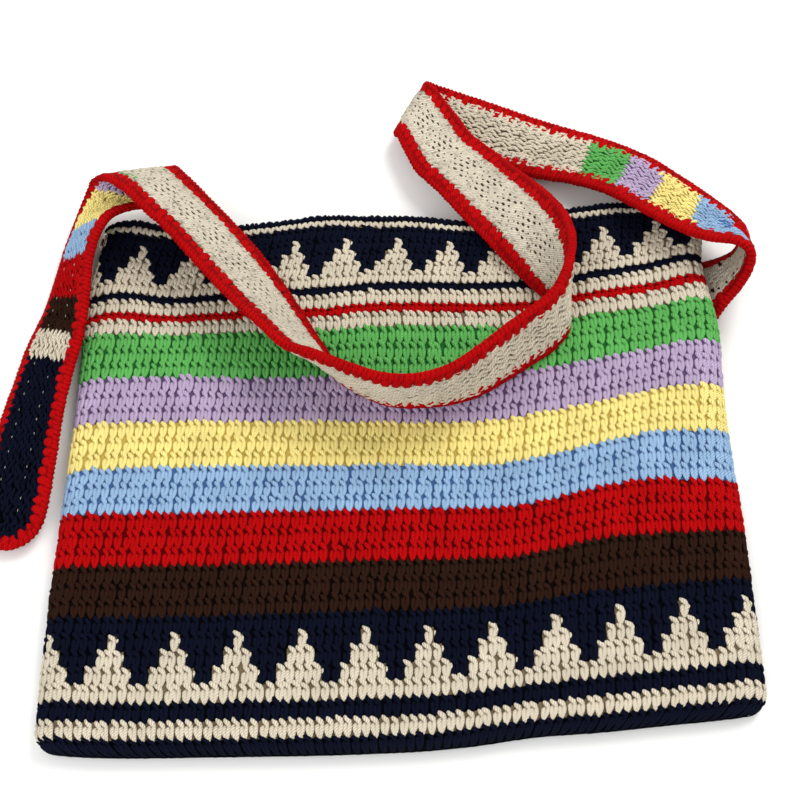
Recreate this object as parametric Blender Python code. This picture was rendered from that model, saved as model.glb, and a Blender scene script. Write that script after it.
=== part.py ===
"""A crocheted tote with one long strap, lying flat on its back.

Metres, +Z up, +X to the right across the bag, +Y towards its mouth. The origin is
on the flat underside, halfway across the bag and halfway up it. The bag is one
hollow tube of cloth, closed at the bottom and open at the mouth. The strap is a
band with rounded ends, an edging that runs all the way round it and a lace tape
on its back. Its right end lies under the bag and its left end lies beside it.
"""

import math

import bmesh
import bpy
from mathutils import Vector

MM = 0.001

# The bag, in millimetres.
BAG_BOTTOM = -159.2
EDGE_LEFT = 181.5
EDGE_RIGHT = 181.5
PUFF = 8.0
RIM_PUFF = 7.0
SIDE_ROUND = 12.0
CORNER_ROUND = 10.0
BOTTOM_ROUND = 8.0
BOTTOM_SLIT = 0.9
LEAST_MIDDLE = 3.5
WALL = 3.6
INNER_FLOOR = 9.0
RIDGE = 0.45
GROOVE = -0.45
FRONT_COLUMNS = 16
INNER_RINGS = 10

# The share of the way round the bag that one quarter of a side fold takes.
ARC_SHARE = 0.0217

# The strap, in millimetres.
STRAP_WIDTH = 45.0
STRAP_END_ROUND = 20.5
EDGING_WIDTH = 6.4
EDGING_THICK = 5.0
BAND_THICK = 4.0
FIT_GAP = 0.55
SEAM_GAP = 0.55
TAPE_WIDTH = 22.0
TAPE_THICK = 0.8
TAPE_SHORT = 12.0
RING_REACH = 30.0
RING_TURN = 17.0
RING_TWIST = 8.0
RING_LEAST = 3.0

# How the cloth lies over the tail of the strap, which lifts the right half.
TAIL_LIFT = 6.7
TAIL_REACH = 25.0
TAIL_FADE = 42.0
CORNER_LIFT = 5.6

# How far the rows stand above or below their even places: the columns' x, then each
# height up the bag with its lifts.
ROW_LIFT_AT = (-180, -155, -132, -85, -40, -15, 15, 40, 65, 85, 105, 130, 155, 180)
ROW_LIFTS = (
    (-154, (3.5, 1.0, 0.3, 0.0, -0.3, 0.0, 0.8, 3.0, 6.6, 7.6, 8.6, 11.0, 12.8, 15.5)),
    (-75, (1.6, 0.2, -0.2, 0.0, 0.4, 1.0, 0.5, 0.5, 1.7, 6.0, 8.6, 10.7, 12.5, 13.5)),
    (-31, (0.9, 0.4, 0.1, -0.4, -0.6, -0.7, -0.9, -1.6, -2.0, 0.2, 5.4, 9.4, 11.0, 12.1)),
    (-3, (-0.3, 0.1, 0.1, -0.6, -1.3, -1.7, -2.7, -3.5, -4.4, -1.5, 3.8, 9.3, 12.9, 14.6)),
    (24, (0.4, 0.4, 0.7, -0.6, -1.9, -2.9, -4.6, -4.6, -4.6, -2.8, 0.8, 6.2, 12.0, 14.8)),
    (52, (1.2, 0.8, 1.8, -1.1, -1.5, -2.0, -3.0, -4.0, -4.0, -3.0, 0.4, 5.0, 9.2, 10.2)),
    (82, (1.2, 1.8, -0.5, 0.4, -0.9, 2.2, 1.0, 0.0, -1.0, -1.0, 0.0, 4.0, 6.2, 8.0)),
    (108, (-1.5, 2.2, -4.2, -0.6, 0.6, 3.2, 2.5, 1.0, 1.0, 1.5, 3.0, 4.5, 8.0, 11.0)),
    (152, (5.0, 3.0, -3.0, -1.3, 4.4, 2.0, 1.0, -3.5, -2.5, 1.0, 4.0, 7.0, 6.0, 2.0)),
    (161, (0.0, 5.3, -3.0, -2.5, 3.5, 1.3, 0.8, -4.5, -3.5, 0.0, 3.0, 7.0, 2.0, -7.0)),
)
ROW_LIFT_SPREAD = 8.0

# Each yarn's colour and how its surface looks.
YARNS = {
    "navy_yarn": (0.006, 0.008, 0.023),
    "beige_yarn": (0.70, 0.61, 0.46),
    "brown_yarn": (0.048, 0.014, 0.009),
    "red_yarn": (0.53, 0.006, 0.006),
    "blue_yarn": (0.27, 0.46, 0.76),
    "yellow_yarn": (0.90, 0.77, 0.26),
    "lilac_yarn": (0.47, 0.33, 0.56),
    "green_yarn": (0.107, 0.515, 0.107),
}
CREAM = (0.73, 0.67, 0.53)
STEEL = (0.62, 0.60, 0.58)

# The bag's rows from the bottom up: yarn and height. The triangles stand in three
# rows, a lower and an upper band of them.
ROWS = (
    [("navy_yarn", 5.3)]
    + [("beige_yarn", 8.9)]
    + [("navy_yarn", 9.7)]
    + [("beige_yarn", 9.15)]
    + [("lower_motif", 9.15)] * 3
    + [("navy_yarn", 9.15)]
    + [("brown_yarn", 9.45)] * 3
    + [("red_yarn", 10.15)] * 3
    + [("blue_yarn", 9.15)] * 3
    + [("yellow_yarn", 9.25)] * 3
    + [("lilac_yarn", 9.35)] * 3
    + [("green_yarn", 9.7)] * 3
    + [("beige_yarn", 9.25)]
    + [("red_yarn", 5.5)]
    + [("beige_yarn", 8.75)]
    + [("navy_yarn", 5.2)]
    + [("beige_yarn", 8.15)]
    + [("upper_motif", 8.15)] * 3
    + [("navy_yarn", 9.0)]
    + [("beige_yarn", 4.4)]
    + [("navy_yarn", 4.45)]
)
BAG_LENGTH = sum(tall for _, tall in ROWS)

# The triangles of each band: how many go round, and the share of the way round where
# the first one's tip stands.
MOTIFS = {"lower_motif": (23, 0.0098), "upper_motif": (24, 0.0)}
MOTIF_ROWS = 3

# The metal eyelet in the side fold at the top left corner.
STUD_ACROSS = 11.5
STUD_HOLE = 4.5
STUD_THICK = 1.6
STUD_AT = (8.1 - EDGE_LEFT, BAG_BOTTOM + BAG_LENGTH - 8.75, 10.1)
STUD_FACES = (-0.83, 0.0, 0.55)
STUD_SIDES = 16

# The strap's colours, each with its length in millimetres from the end inwards.
# The beige middle takes what is left.
HIDDEN_END_BLOCKS = (
    (126.0, "navy_yarn"),
    (19.0, "beige_yarn"),
    (27.0, "brown_yarn"),
    (23.5, "red_yarn"),
    (26.5, "blue_yarn"),
    (33.5, "yellow_yarn"),
    (28.5, "lilac_yarn"),
    (23.0, "green_yarn"),
)
LEFT_END_BLOCKS = (
    (115.5, "navy_yarn"),
    (16.5, "beige_yarn"),
    (22.0, "brown_yarn"),
    (26.5, "red_yarn"),
    (23.5, "blue_yarn"),
    (25.0, "yellow_yarn"),
    (18.0, "lilac_yarn"),
    (17.5, "green_yarn"),
)

# The strap's way, from the end under the bag to the end at the left: x, y and z of
# its middle, then the heading and the slope in degrees of the way across it, from
# the middle to the edge that runs lower along the right side.
ROUTE = (
    (108, -12, 2.9, 0, 0),
    (110, 16, 2.9, -9, 0),
    (117, 43, 2.9, -21, 0),
    (129, 66, 2.9, -34, 0),
    (144, 83, 2.9, -48, 0),
    (159, 94, 3.5, -57, 2),
    (170, 102, 6.2, -67, 9),
    (182, 108, 12.5, -78, 24),
    (191, 111, 18.5, -85, 34),
    (198, 115, 25.0, -91, 42),
    (200.5, 120.5, 31.8, -97, 46),
    (197, 125, 36.3, -112, 43),
    (186, 131, 36.8, -126, 31),
    (173, 144, 32.8, -138, 22),
    (159.5, 162, 25.7, -143, 17),
    (138, 188, 15.5, -136, 12),
    (116, 204, 9.0, -124, 9),
    (96, 214, 5.0, -117, 5),
    (76, 223, 3.9, -115, 2),
    (56, 233, 3.5, -114, 0),
    (37, 242, 3.5, -113, 0),
    (21, 248, 4.8, -115, -2),
    (12.5, 248, 9.6, -117, -4),
    (14, 243, 14.6, -121, 1),
    (19, 232, 15.2, -128, 4),
    (24, 222, 15.2, -134, 5),
    (31.5, 207, 15.6, -141, 4),
    (44, 192, 17.0, -146, 0),
    (58, 170.5, 22.0, -144, -8),
    (72, 148.5, 28.5, -142, -19),
    (84.5, 124, 35.0, -149, -42),
    (91.5, 104, 40.5, -152, -65),
    (95, 89, 44.5, -117, -84),
    (93, 75, 45.5, -35, -81),
    (85, 64, 45.5, -44, -81),
    (74, 56, 44.6, -52, -82),
    (59, 46, 42.6, -55, -84),
    (44, 36, 41.5, -60, -88),
    (29, 29, 41.5, 108, -85),
    (13, 26, 41.5, 94, -80),
    (-4, 27, 41.5, 69, -79),
    (-22, 35, 41.0, 42, -76),
    (-37.5, 46, 38.5, 27, -68),
    (-48, 56, 37.0, 30, -55),
    (-60, 73, 35.0, 31, -48),
    (-78, 99, 33.5, 35, -36),
    (-97, 125, 34.0, 42, -30),
    (-114.5, 146.5, 36.5, 49, -29),
    (-130, 163, 39.0, 49, -27),
    (-142, 177, 38.0, 42, -27),
    (-150.5, 185.5, 31.5, 20, -19),
    (-157, 182, 25.5, -8, -8),
    (-163.5, 175.5, 23.0, -26, 10),
    (-170, 170.5, 22.0, -29, 27),
    (-178, 161, 20.5, -27, 43),
    (-183, 146, 20.5, -24, 49),
    (-186.5, 126, 19.5, -22, 49),
    (-189, 102, 17.8, -17, 42),
    (-194, 80, 15.0, -12, 33),
    (-199, 56, 13.0, -12, 31),
    (-203, 33, 11.5, -10, 27),
    (-206, 8, 10.0, -9, 21),
    (-209, -15, 8.4, -9, 15),
    (-211.5, -31, 7.0, -10, 11),
    (-213.5, -44, 5.8, -10, 8),
)
HIDDEN_STATIONS = 7


def clear_scene():
    """Remove whatever the file opened with."""
    for item in list(bpy.data.objects):
        bpy.data.objects.remove(item, do_unlink=True)


def smooth(value):
    """A soft step from 0 to 1 as the value goes from 0 to 1."""
    value = min(max(value, 0.0), 1.0)
    return value * value * (3.0 - 2.0 * value)


def material(name, colour, metallic=0.0, roughness=0.9):
    made = bpy.data.materials.new(name)
    made.use_nodes = True
    shader = made.node_tree.nodes["Principled BSDF"]
    shader.inputs["Base Color"].default_value = (*colour, 1.0)
    shader.inputs["Metallic"].default_value = metallic
    shader.inputs["Roughness"].default_value = roughness
    return made


def build_object(name, points, faces, slots, materials):
    """One closed mesh, from points in millimetres and a material slot for each face."""
    mesh = bpy.data.meshes.new(name)
    shape = bmesh.new()
    corners = [shape.verts.new(Vector(point) * MM) for point in points]
    for face, slot in zip(faces, slots):
        shape.faces.new([corners[index] for index in face]).material_index = slot
    bmesh.ops.recalc_face_normals(shape, faces=shape.faces)
    bmesh.ops.triangulate(shape, faces=shape.faces, quad_method="FIXED")
    shape.to_mesh(mesh)
    shape.free()
    for entry in materials:
        mesh.materials.append(entry)
    made = bpy.data.objects.new(name, mesh)
    bpy.context.scene.collection.objects.link(made)
    return made


# The bag.


def tail_distance(x, y):
    """How far a place is from the middle of the strap's hidden end."""
    nearest = 1.0e9
    for start, end in zip(ROUTE[: HIDDEN_STATIONS - 1], ROUTE[1:HIDDEN_STATIONS]):
        ax, ay, bx, by = start[0], start[1], end[0], end[1]
        along = (x - ax) * (bx - ax) + (y - ay) * (by - ay)
        along /= (bx - ax) ** 2 + (by - ay) ** 2
        along = min(max(along, 0.0), 1.0)
        gap = math.hypot(x - ax - along * (bx - ax), y - ay - along * (by - ay))
        nearest = min(nearest, gap)
    return nearest


def lift(x, y):
    """How far the cloth lies above the ground, over the strap's hidden end."""
    over_tail = 1.0 - smooth((tail_distance(x, y) - TAIL_REACH) / TAIL_FADE)
    corner = smooth((x - 138.0) / 36.0) * smooth((y - 28.0) / 45.0)
    settle = 1.0 - 0.35 * smooth((y - 105.0) / 40.0)
    return TAIL_LIFT * over_tail + CORNER_LIFT * corner * settle


def left_edge(along):
    """The x of the bag's left side fold, at a height up the bag."""
    widening = 3.0 * smooth((along + 90.0) / 130.0) + 6.0 * smooth((along - 105.0) / 55.0)
    return widening - EDGE_LEFT


def right_edge(along):
    """The x of the bag's right side fold, at a height up the bag."""
    waist = math.exp(-((along - 106.0) / 26.0) ** 2)
    return EDGE_RIGHT - 1.5 * smooth((along + 60.0) / 60.0) - 4.6 * waist


def stop_below(stops, value):
    """The last stop at or below a value, and the share of the way to the next."""
    value = min(max(value, stops[0]), stops[-1])
    index = max(place for place in range(len(stops) - 1) if stops[place] <= value)
    return index, (value - stops[index]) / (stops[index + 1] - stops[index])


def rows_up(x, along):
    """Where a row lies up the bag: the rows wave, and step up on the right."""
    low, up = stop_below([height for height, _ in ROW_LIFTS], along)
    lifted = 0.0
    for spread_by in (-ROW_LIFT_SPREAD, 0.0, ROW_LIFT_SPREAD):
        left, right = stop_below(ROW_LIFT_AT, x + spread_by)
        for row, weight in ((low, 1.0 - up), (low + 1, up)):
            lifts = ROW_LIFTS[row][1]
            lifted += (lifts[left] * (1.0 - right) + lifts[left + 1] * right) * weight / 3.0
    return along + lifted


def bag_point(share, along, relief):
    """A point of the bag's cloth.

    The share goes once round the bag from 0 to 1: from the left fold over the front
    to the right fold at one half, and back underneath.
    """
    bottom = along - BAG_BOTTOM
    puff = PUFF - (PUFF - RIM_PUFF) * smooth((along - 95.0) / 65.0)
    if bottom < BOTTOM_ROUND:
        fall = 1.0 - bottom / BOTTOM_ROUND
        puff = max(puff * math.sqrt(max(1.0 - fall * fall, 0.0)), BOTTOM_SLIT - relief)
    inset = 0.0
    if bottom < CORNER_ROUND:
        fall = CORNER_ROUND - bottom
        inset = CORNER_ROUND - math.sqrt(CORNER_ROUND**2 - fall * fall)
    start = left_edge(along) + inset - relief
    end = right_edge(along) - inset + relief
    turn, side, height = side_place(share)
    pressed_flat = height < -0.7 and relief >= GROOVE
    half = puff + (RIDGE if pressed_flat else relief)
    if turn == 0:
        x = start + SIDE_ROUND + side * (end - start - 2.0 * SIDE_ROUND)
    elif turn < 0:
        x = start + SIDE_ROUND * (1.0 - side)
    else:
        x = end - SIDE_ROUND * (1.0 - side)
    y = rows_up(x, along)
    return (x, y, lift(x, y) + max(puff, LEAST_MIDDLE) + RIDGE + half * height)


def side_place(share):
    """Where a share of the way round lies: which part, how far along, how high."""
    share %= 1.0
    if share < ARC_SHARE:
        angle = share / ARC_SHARE * math.pi / 2.0
        return -1, math.cos(angle), math.sin(angle)
    if share < 0.5 - ARC_SHARE:
        return 0, (share - ARC_SHARE) / (0.5 - 2.0 * ARC_SHARE), 1.0
    if share < 0.5 + ARC_SHARE:
        angle = (0.5 - share) / ARC_SHARE * math.pi / 2.0
        return 1, math.cos(angle), math.sin(angle)
    if share < 1.0 - ARC_SHARE:
        return 0, (1.0 - ARC_SHARE - share) / (0.5 - 2.0 * ARC_SHARE), -1.0
    angle = (share - 1.0) / ARC_SHARE * math.pi / 2.0
    return -1, math.cos(angle), math.sin(angle)


def plain_shares():
    """The columns of a plain ring: closer together round the two side folds."""
    flat = (0.5 - 2.0 * ARC_SHARE) / FRONT_COLUMNS
    first = [0.0, ARC_SHARE / 2.0]
    first += [ARC_SHARE + flat * index for index in range(FRONT_COLUMNS + 1)]
    first += [0.5 - ARC_SHARE / 2.0]
    return first + [share + 0.5 for share in first]


def motif_shares(motif, rise):
    """The columns of a ring through the triangles, which narrow as they rise."""
    shares = [0.0, ARC_SHARE / 2.0, 0.5 - ARC_SHARE / 2.0, 0.5, 0.5 + ARC_SHARE / 2.0]
    shares += [1.0 - ARC_SHARE / 2.0]
    count, first = MOTIFS[motif]
    half = 0.5 / count
    for index in range(count):
        tip = (first + index / count) % 1.0
        places = [tip, tip + half]
        if 0.0 < rise < 1.0:
            places += [tip - half * (1.0 - rise), tip + half * (1.0 - rise)]
        shares += [place % 1.0 for place in places]
    shares.sort()
    kept = [shares[0]]
    for share in shares[1:]:
        if share - kept[-1] > 0.0015:
            kept.append(share)
    return kept


def in_triangle(motif, share, rise):
    """Whether a place in the pattern rows lies in a beige triangle."""
    count, first = MOTIFS[motif]
    from_tip = ((share - first) * count + 0.5) % 1.0 - 0.5
    return abs(from_tip) * 2.0 < 1.0 - rise


def bag_rings():
    """The outer rings from the bottom up: height, relief, rise in a triangle, yarn."""
    rings = []
    height = BAG_BOTTOM
    names = [yarn for yarn, _ in ROWS]
    for index, (yarn, tall) in enumerate(ROWS):
        for part, relief in ((0.0, GROOVE), (0.5, RIDGE)):
            rise = (index - names.index(yarn) + part) / MOTIF_ROWS if yarn in MOTIFS else None
            rings.append((height + tall * part, relief, rise, yarn))
        height += tall
    rings.append((height, GROOVE, None, None))
    return rings


def join_rings(lower, upper, low_shares, up_shares):
    """Triangles between two closed rings, walked round together."""
    faces = []
    i = j = 0
    while i < len(lower) or j < len(upper):
        low_next = low_shares[i + 1] if i + 1 < len(lower) else 1.0
        up_next = up_shares[j + 1] if j + 1 < len(upper) else 1.0
        here, there = lower[i % len(lower)], upper[j % len(upper)]
        middle = (low_shares[i % len(lower)] + up_shares[j % len(upper)]) / 2.0
        if j >= len(upper) or (i < len(lower) and low_next <= up_next):
            faces.append(((here, lower[(i + 1) % len(lower)], there), (middle + low_next) / 2.0))
            i += 1
        else:
            faces.append(((here, upper[(j + 1) % len(upper)], there), (middle + up_next) / 2.0))
            j += 1
    return faces


def make_bag(materials):
    names = list(YARNS)
    points, faces, slots, loops = [], [], [], []
    rings = bag_rings()
    for along, relief, rise, yarn in rings:
        shares = plain_shares() if rise in (None, 0.0) else motif_shares(yarn, rise)
        loops.append((list(range(len(points), len(points) + len(shares))), shares))
        points += [bag_point(share, along, relief) for share in shares]
    half_step = 0.25 / MOTIF_ROWS
    for index, (low, up) in enumerate(zip(loops, loops[1:])):
        yarn, rise = rings[index][3], rings[index][2]
        for corners, share in join_rings(low[0], up[0], low[1], up[1]):
            colour = yarn
            if yarn in MOTIFS:
                inside = in_triangle(yarn, share, rise + half_step)
                colour = "beige_yarn" if inside else "navy_yarn"
            faces.append(corners)
            slots.append(names.index(colour))
    columns = plain_shares()
    count = len(columns)
    inner_top = BAG_BOTTOM + BAG_LENGTH
    inner_low = BAG_BOTTOM + INNER_FLOOR
    inner = []
    for ring in range(INNER_RINGS):
        along = inner_top + (inner_low - inner_top) * ring / (INNER_RINGS - 1)
        inner.append(list(range(len(points), len(points) + count)))
        points += [bag_point(share, along, -WALL) for share in columns]
    beige = names.index("beige_yarn")
    walls = [loops[-1][0]] + inner
    for low, up in zip(walls, walls[1:]):
        for column in range(count):
            after = (column + 1) % count
            faces.append((low[column], low[after], up[after], up[column]))
            slots.append(beige if low is not walls[0] else names.index("navy_yarn"))
    for ring, slot in ((loops[0][0], names.index("navy_yarn")), (inner[-1], beige)):
        for column in range(count // 2):
            opposite = (count - column) % count
            corners = [ring[column], ring[column + 1], ring[opposite - 1], ring[opposite]]
            faces.append(tuple(dict.fromkeys(corners)))
            slots.append(slot)
    return build_object("bag_body", points, faces, slots, materials)


# The strap.


def route_samples(steps=8):
    """The strap's middle and the way to its lower edge, closely spaced."""
    stations = []
    for x, y, z, heading, slope in ROUTE:
        heading, slope = math.radians(heading), math.radians(slope)
        way = Vector((math.cos(heading), math.sin(heading), 0.0)) * math.cos(slope)
        stations.append((Vector((x, y, z)), way + Vector((0.0, 0.0, math.sin(slope)))))
    first, last = stations[0], stations[-1]
    before = (first[0] * 2.0 - stations[1][0], first[1])
    after = (last[0] * 2.0 - stations[-2][0], last[1])
    chain = [before] + stations + [after]
    middles, ways = [], []
    for index in range(1, len(chain) - 2):
        near = chain[index - 1 : index + 3]
        spans = [math.sqrt((b[0] - a[0]).length) for a, b in zip(near, near[1:])]
        for step in range(steps):
            middles.append(curve_place([entry[0] for entry in near], spans, step / steps))
            ways.append(curve_place([entry[1] for entry in near], spans, step / steps))
    middles.append(last[0])
    ways.append(last[1])
    return middles, ways


def curve_place(near, spans, share):
    """A place on the smooth curve through four points, between the middle two."""
    d1, d2, d3 = spans
    t = d1 + d2 * share
    a = near[0] * ((d1 - t) / d1) + near[1] * (t / d1)
    b = near[1] * ((d1 + d2 - t) / d2) + near[2] * ((t - d1) / d2)
    c = near[2] * ((d1 + d2 + d3 - t) / d3) + near[3] * ((t - d1 - d2) / d3)
    e = a * ((d1 + d2 - t) / (d1 + d2)) + b * (t / (d1 + d2))
    f = b * ((d1 + d2 + d3 - t) / (d2 + d3)) + c * ((t - d1) / (d2 + d3))
    return e * ((d1 + d2 - t) / d2) + f * ((t - d1) / d2)


class Strap:
    """The strap's surface: a place along it and a place across it give a point."""

    def __init__(self):
        self.middles, ways = route_samples()
        self.lengths = [0.0]
        for a, b in zip(self.middles, self.middles[1:]):
            self.lengths.append(self.lengths[-1] + (b - a).length)
        self.total = self.lengths[-1]
        self.tangents, self.ways = [], []
        for index, way in enumerate(ways):
            before = self.middles[max(index - 1, 0)]
            after = self.middles[min(index + 1, len(ways) - 1)]
            self.tangents.append((after - before).normalized())
            self.ways.append(way.normalized())
        self.colours = self.colour_ends()
        self.tape_ends = (EDGING_WIDTH + TAPE_SHORT, self.total - EDGING_WIDTH - TAPE_SHORT)
        self.stops = self.shared_stops()

    def frame(self, along):
        """The middle, the way along, the way to the lower edge, the way out of the lace."""
        along = min(max(along, 0.0), self.total)
        low, high = 0, len(self.lengths) - 1
        while high - low > 1:
            middle = (low + high) // 2
            if self.lengths[middle] <= along:
                low = middle
            else:
                high = middle
        share = (along - self.lengths[low]) / (self.lengths[high] - self.lengths[low])
        place = self.middles[low].lerp(self.middles[high], share)
        tangent = self.tangents[low].lerp(self.tangents[high], share).normalized()
        way = self.ways[low].lerp(self.ways[high], share).normalized()
        return place, tangent, way, way.cross(tangent).normalized()

    def point(self, along, across, out):
        place, _, way, normal = self.frame(along)
        return place + way * across + normal * out

    def colour_ends(self):
        """The strap's colours and where each ends, from the hidden end to the other."""
        ends, place = [], 0.0
        for length, yarn in HIDDEN_END_BLOCKS:
            place += length
            ends.append((place, yarn))
        place = self.total - sum(length for length, _ in LEFT_END_BLOCKS)
        ends.append((place, "beige_yarn"))
        for length, yarn in reversed(LEFT_END_BLOCKS):
            place += length
            ends.append((place, yarn))
        return ends

    def shared_stops(self):
        """The places where every strap piece has a ring, closer where the strap turns."""
        fixed = [end for end, _ in self.colours[:-1]] + list(self.tape_ends)
        fixed += [STRAP_END_ROUND, self.total - STRAP_END_ROUND]
        places, spent = [], 0.0
        for index in range(1, len(self.lengths)):
            here = self.lengths[index]
            if not STRAP_END_ROUND < here < self.total - STRAP_END_ROUND:
                continue
            step = here - self.lengths[index - 1]
            turn = math.degrees(self.tangents[index].angle(self.tangents[index - 1]))
            twist = math.degrees(self.ways[index].angle(self.ways[index - 1]))
            spent += step / RING_REACH + max(turn / RING_TURN, twist / RING_TWIST)
            if spent >= 1.0 and all(abs(here - place) > RING_LEAST for place in fixed):
                places.append(here)
                spent = 0.0
        return sorted(places + fixed)

    def stops_between(self, start, end):
        return [stop for stop in self.stops if start - 0.01 < stop < end + 0.01]

    def half_width(self, along, inset):
        """Half of the width of the outline at a place, set in from the outer edge."""
        half = STRAP_WIDTH / 2.0 - inset
        turn = STRAP_END_ROUND - inset
        from_end = min(along, self.total - along) - inset
        if from_end < turn:
            fall = turn - max(from_end, 0.0)
            return half - turn + math.sqrt(turn * turn - fall * fall)
        return half


def make_band(strap, materials):
    """The crocheted middle of the strap."""
    names = list(YARNS)
    inset = EDGING_WIDTH + SEAM_GAP
    turn = STRAP_END_ROUND - inset
    round_off = [inset + turn * share for share in (0.0, 0.14, 0.5)]
    stops = round_off + strap.stops + [strap.total - stop for stop in reversed(round_off)]
    points, faces, slots = [], [], []
    section = ((-1.0, 0.0), (-0.86, 1.0), (0.86, 1.0), (1.0, 0.0), (0.86, -1.0), (-0.86, -1.0))
    for stop in stops:
        half = strap.half_width(stop, inset)
        for across, out in section:
            points.append(strap.point(stop, across * half, out * BAND_THICK / 2.0))
    count = len(section)
    for index in range(len(stops) - 1):
        middle = (stops[index] + stops[index + 1]) / 2.0
        yarn = next(yarn for end, yarn in strap.colours if middle <= end)
        for side in range(count):
            after = (side + 1) % count
            low, up = index * count, (index + 1) * count
            faces.append((low + side, low + after, up + after, up + side))
            slots.append(names.index(yarn))
    for first in (0, (len(stops) - 1) * count):
        faces.append(tuple(range(first, first + count)))
        slots.append(names.index("navy_yarn"))
    return build_object("strap_band", points, faces, slots, materials)


def make_edging(strap, materials):
    """The edging: one ring that runs down one side, round the end and back."""
    inset = EDGING_WIDTH / 2.0
    half = STRAP_WIDTH / 2.0 - inset
    turn = STRAP_END_ROUND - inset
    low, high = STRAP_END_ROUND, strap.total - STRAP_END_ROUND
    stops = strap.stops_between(low, high)
    path = [(stop, half, 1.0, 0.0) for stop in stops]
    angles = (22.5, 45.0, 67.5, 90.0)
    for degrees in angles:
        angle = math.radians(degrees)
        across, ahead = math.cos(angle), math.sin(angle)
        path.append((high + turn * ahead, half - turn + turn * across, across, ahead))
    for degrees in reversed(angles):
        angle = math.radians(degrees)
        across, ahead = math.cos(angle), math.sin(angle)
        path.append((high + turn * ahead, turn - half - turn * across, -across, ahead))
    path += [(stop, -half, -1.0, 0.0) for stop in reversed(stops)]
    for degrees in angles:
        angle = math.radians(degrees)
        across, ahead = math.cos(angle), math.sin(angle)
        path.append((low - turn * ahead, turn - half - turn * across, -across, -ahead))
    for degrees in reversed(angles):
        angle = math.radians(degrees)
        across, ahead = math.cos(angle), math.sin(angle)
        path.append((low - turn * ahead, half - turn + turn * across, across, -ahead))
    section = ((-1.0, 0.5), (0.1, 1.0), (1.0, 0.0), (0.1, -1.0), (-1.0, -0.5))
    count = len(section)
    points, faces, slots = [], [], []
    for along, across, side, ahead in path:
        place, tangent, way, normal = strap.frame(along)
        centre = place + way * across
        outward = (way * side + tangent * ahead).normalized()
        for out, up in section:
            corner = centre + outward * (out * EDGING_WIDTH / 2.0)
            points.append(corner + normal * (up * EDGING_THICK / 2.0))
    for index in range(len(path)):
        low, up = index * count, (index + 1) % len(path) * count
        for side in range(count):
            after = (side + 1) % count
            faces.append((low + side, low + after, up + after, up + side))
            slots.append(0)
    return build_object("strap_edging", points, faces, slots, materials)


def make_tape(strap, materials):
    """The flat lace tape sewn along the back of the strap."""
    base = BAND_THICK / 2.0 + FIT_GAP
    stops = strap.stops_between(*strap.tape_ends)
    half = TAPE_WIDTH / 2.0
    section = ((-half, base), (half, base), (half, base + TAPE_THICK), (-half, base + TAPE_THICK))
    points, faces, slots = [], [], []
    for stop in stops:
        points += [strap.point(stop, across, out) for across, out in section]
    for index in range(len(stops) - 1):
        for side, after in ((0, 1), (1, 2), (3, 2), (0, 3)):
            low, up = index * 4, (index + 1) * 4
            faces.append((low + side, low + after, up + after, up + side))
            slots.append(0)
    for first in (0, (len(stops) - 1) * 4):
        faces.append(tuple(range(first, first + 4)))
        slots.append(0)
    return build_object("strap_tape", points, faces, slots, materials)


def make_stud(materials):
    """The metal eyelet: a flat ring set against the side fold."""
    face = Vector(STUD_FACES).normalized()
    across = Vector((0.0, 1.0, 0.0))
    upward = face.cross(across)
    centre = Vector(STUD_AT)
    section = ((STUD_HOLE, -0.5), (STUD_HOLE, 0.5), (STUD_ACROSS, 0.5), (STUD_ACROSS, -0.5))
    points, faces, slots = [], [], []
    for side in range(STUD_SIDES):
        angle = 2.0 * math.pi * side / STUD_SIDES
        spoke = across * math.cos(angle) + upward * math.sin(angle)
        for width, out in section:
            points.append(centre + spoke * (width / 2.0) + face * (out * STUD_THICK))
    for side in range(STUD_SIDES):
        low, up = side * 4, (side + 1) % STUD_SIDES * 4
        for corner in range(4):
            after = (corner + 1) % 4
            faces.append((low + corner, low + after, up + after, up + corner))
            slots.append(0)
    return build_object("corner_stud", points, faces, slots, materials)


def main():
    clear_scene()
    yarns = [material(name, colour) for name, colour in YARNS.items()]
    strap = Strap()
    make_bag(yarns)
    make_band(strap, yarns)
    make_edging(strap, [material("edging_yarn", YARNS["red_yarn"])])
    make_tape(strap, [material("lace_tape", CREAM)])
    make_stud([material("stud_metal", STEEL, metallic=1.0, roughness=0.3)])


main()
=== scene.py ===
"""How the crochet bag looks: every stitch of its yarns, its lace tape and its light.

The CAD model gives the places. The bag's cloth and the strap are two surfaces, the
same as in the CAD source, and the stitches are short strands of yarn laid on them.
Lengths are in millimetres until a mesh is made.
"""

import math

import bmesh
import bpy
import numpy as np
from bpy.props import FloatProperty, FloatVectorProperty, PointerProperty
from mathutils import Matrix, Vector
from mathutils.geometry import delaunay_2d_cdt


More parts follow.
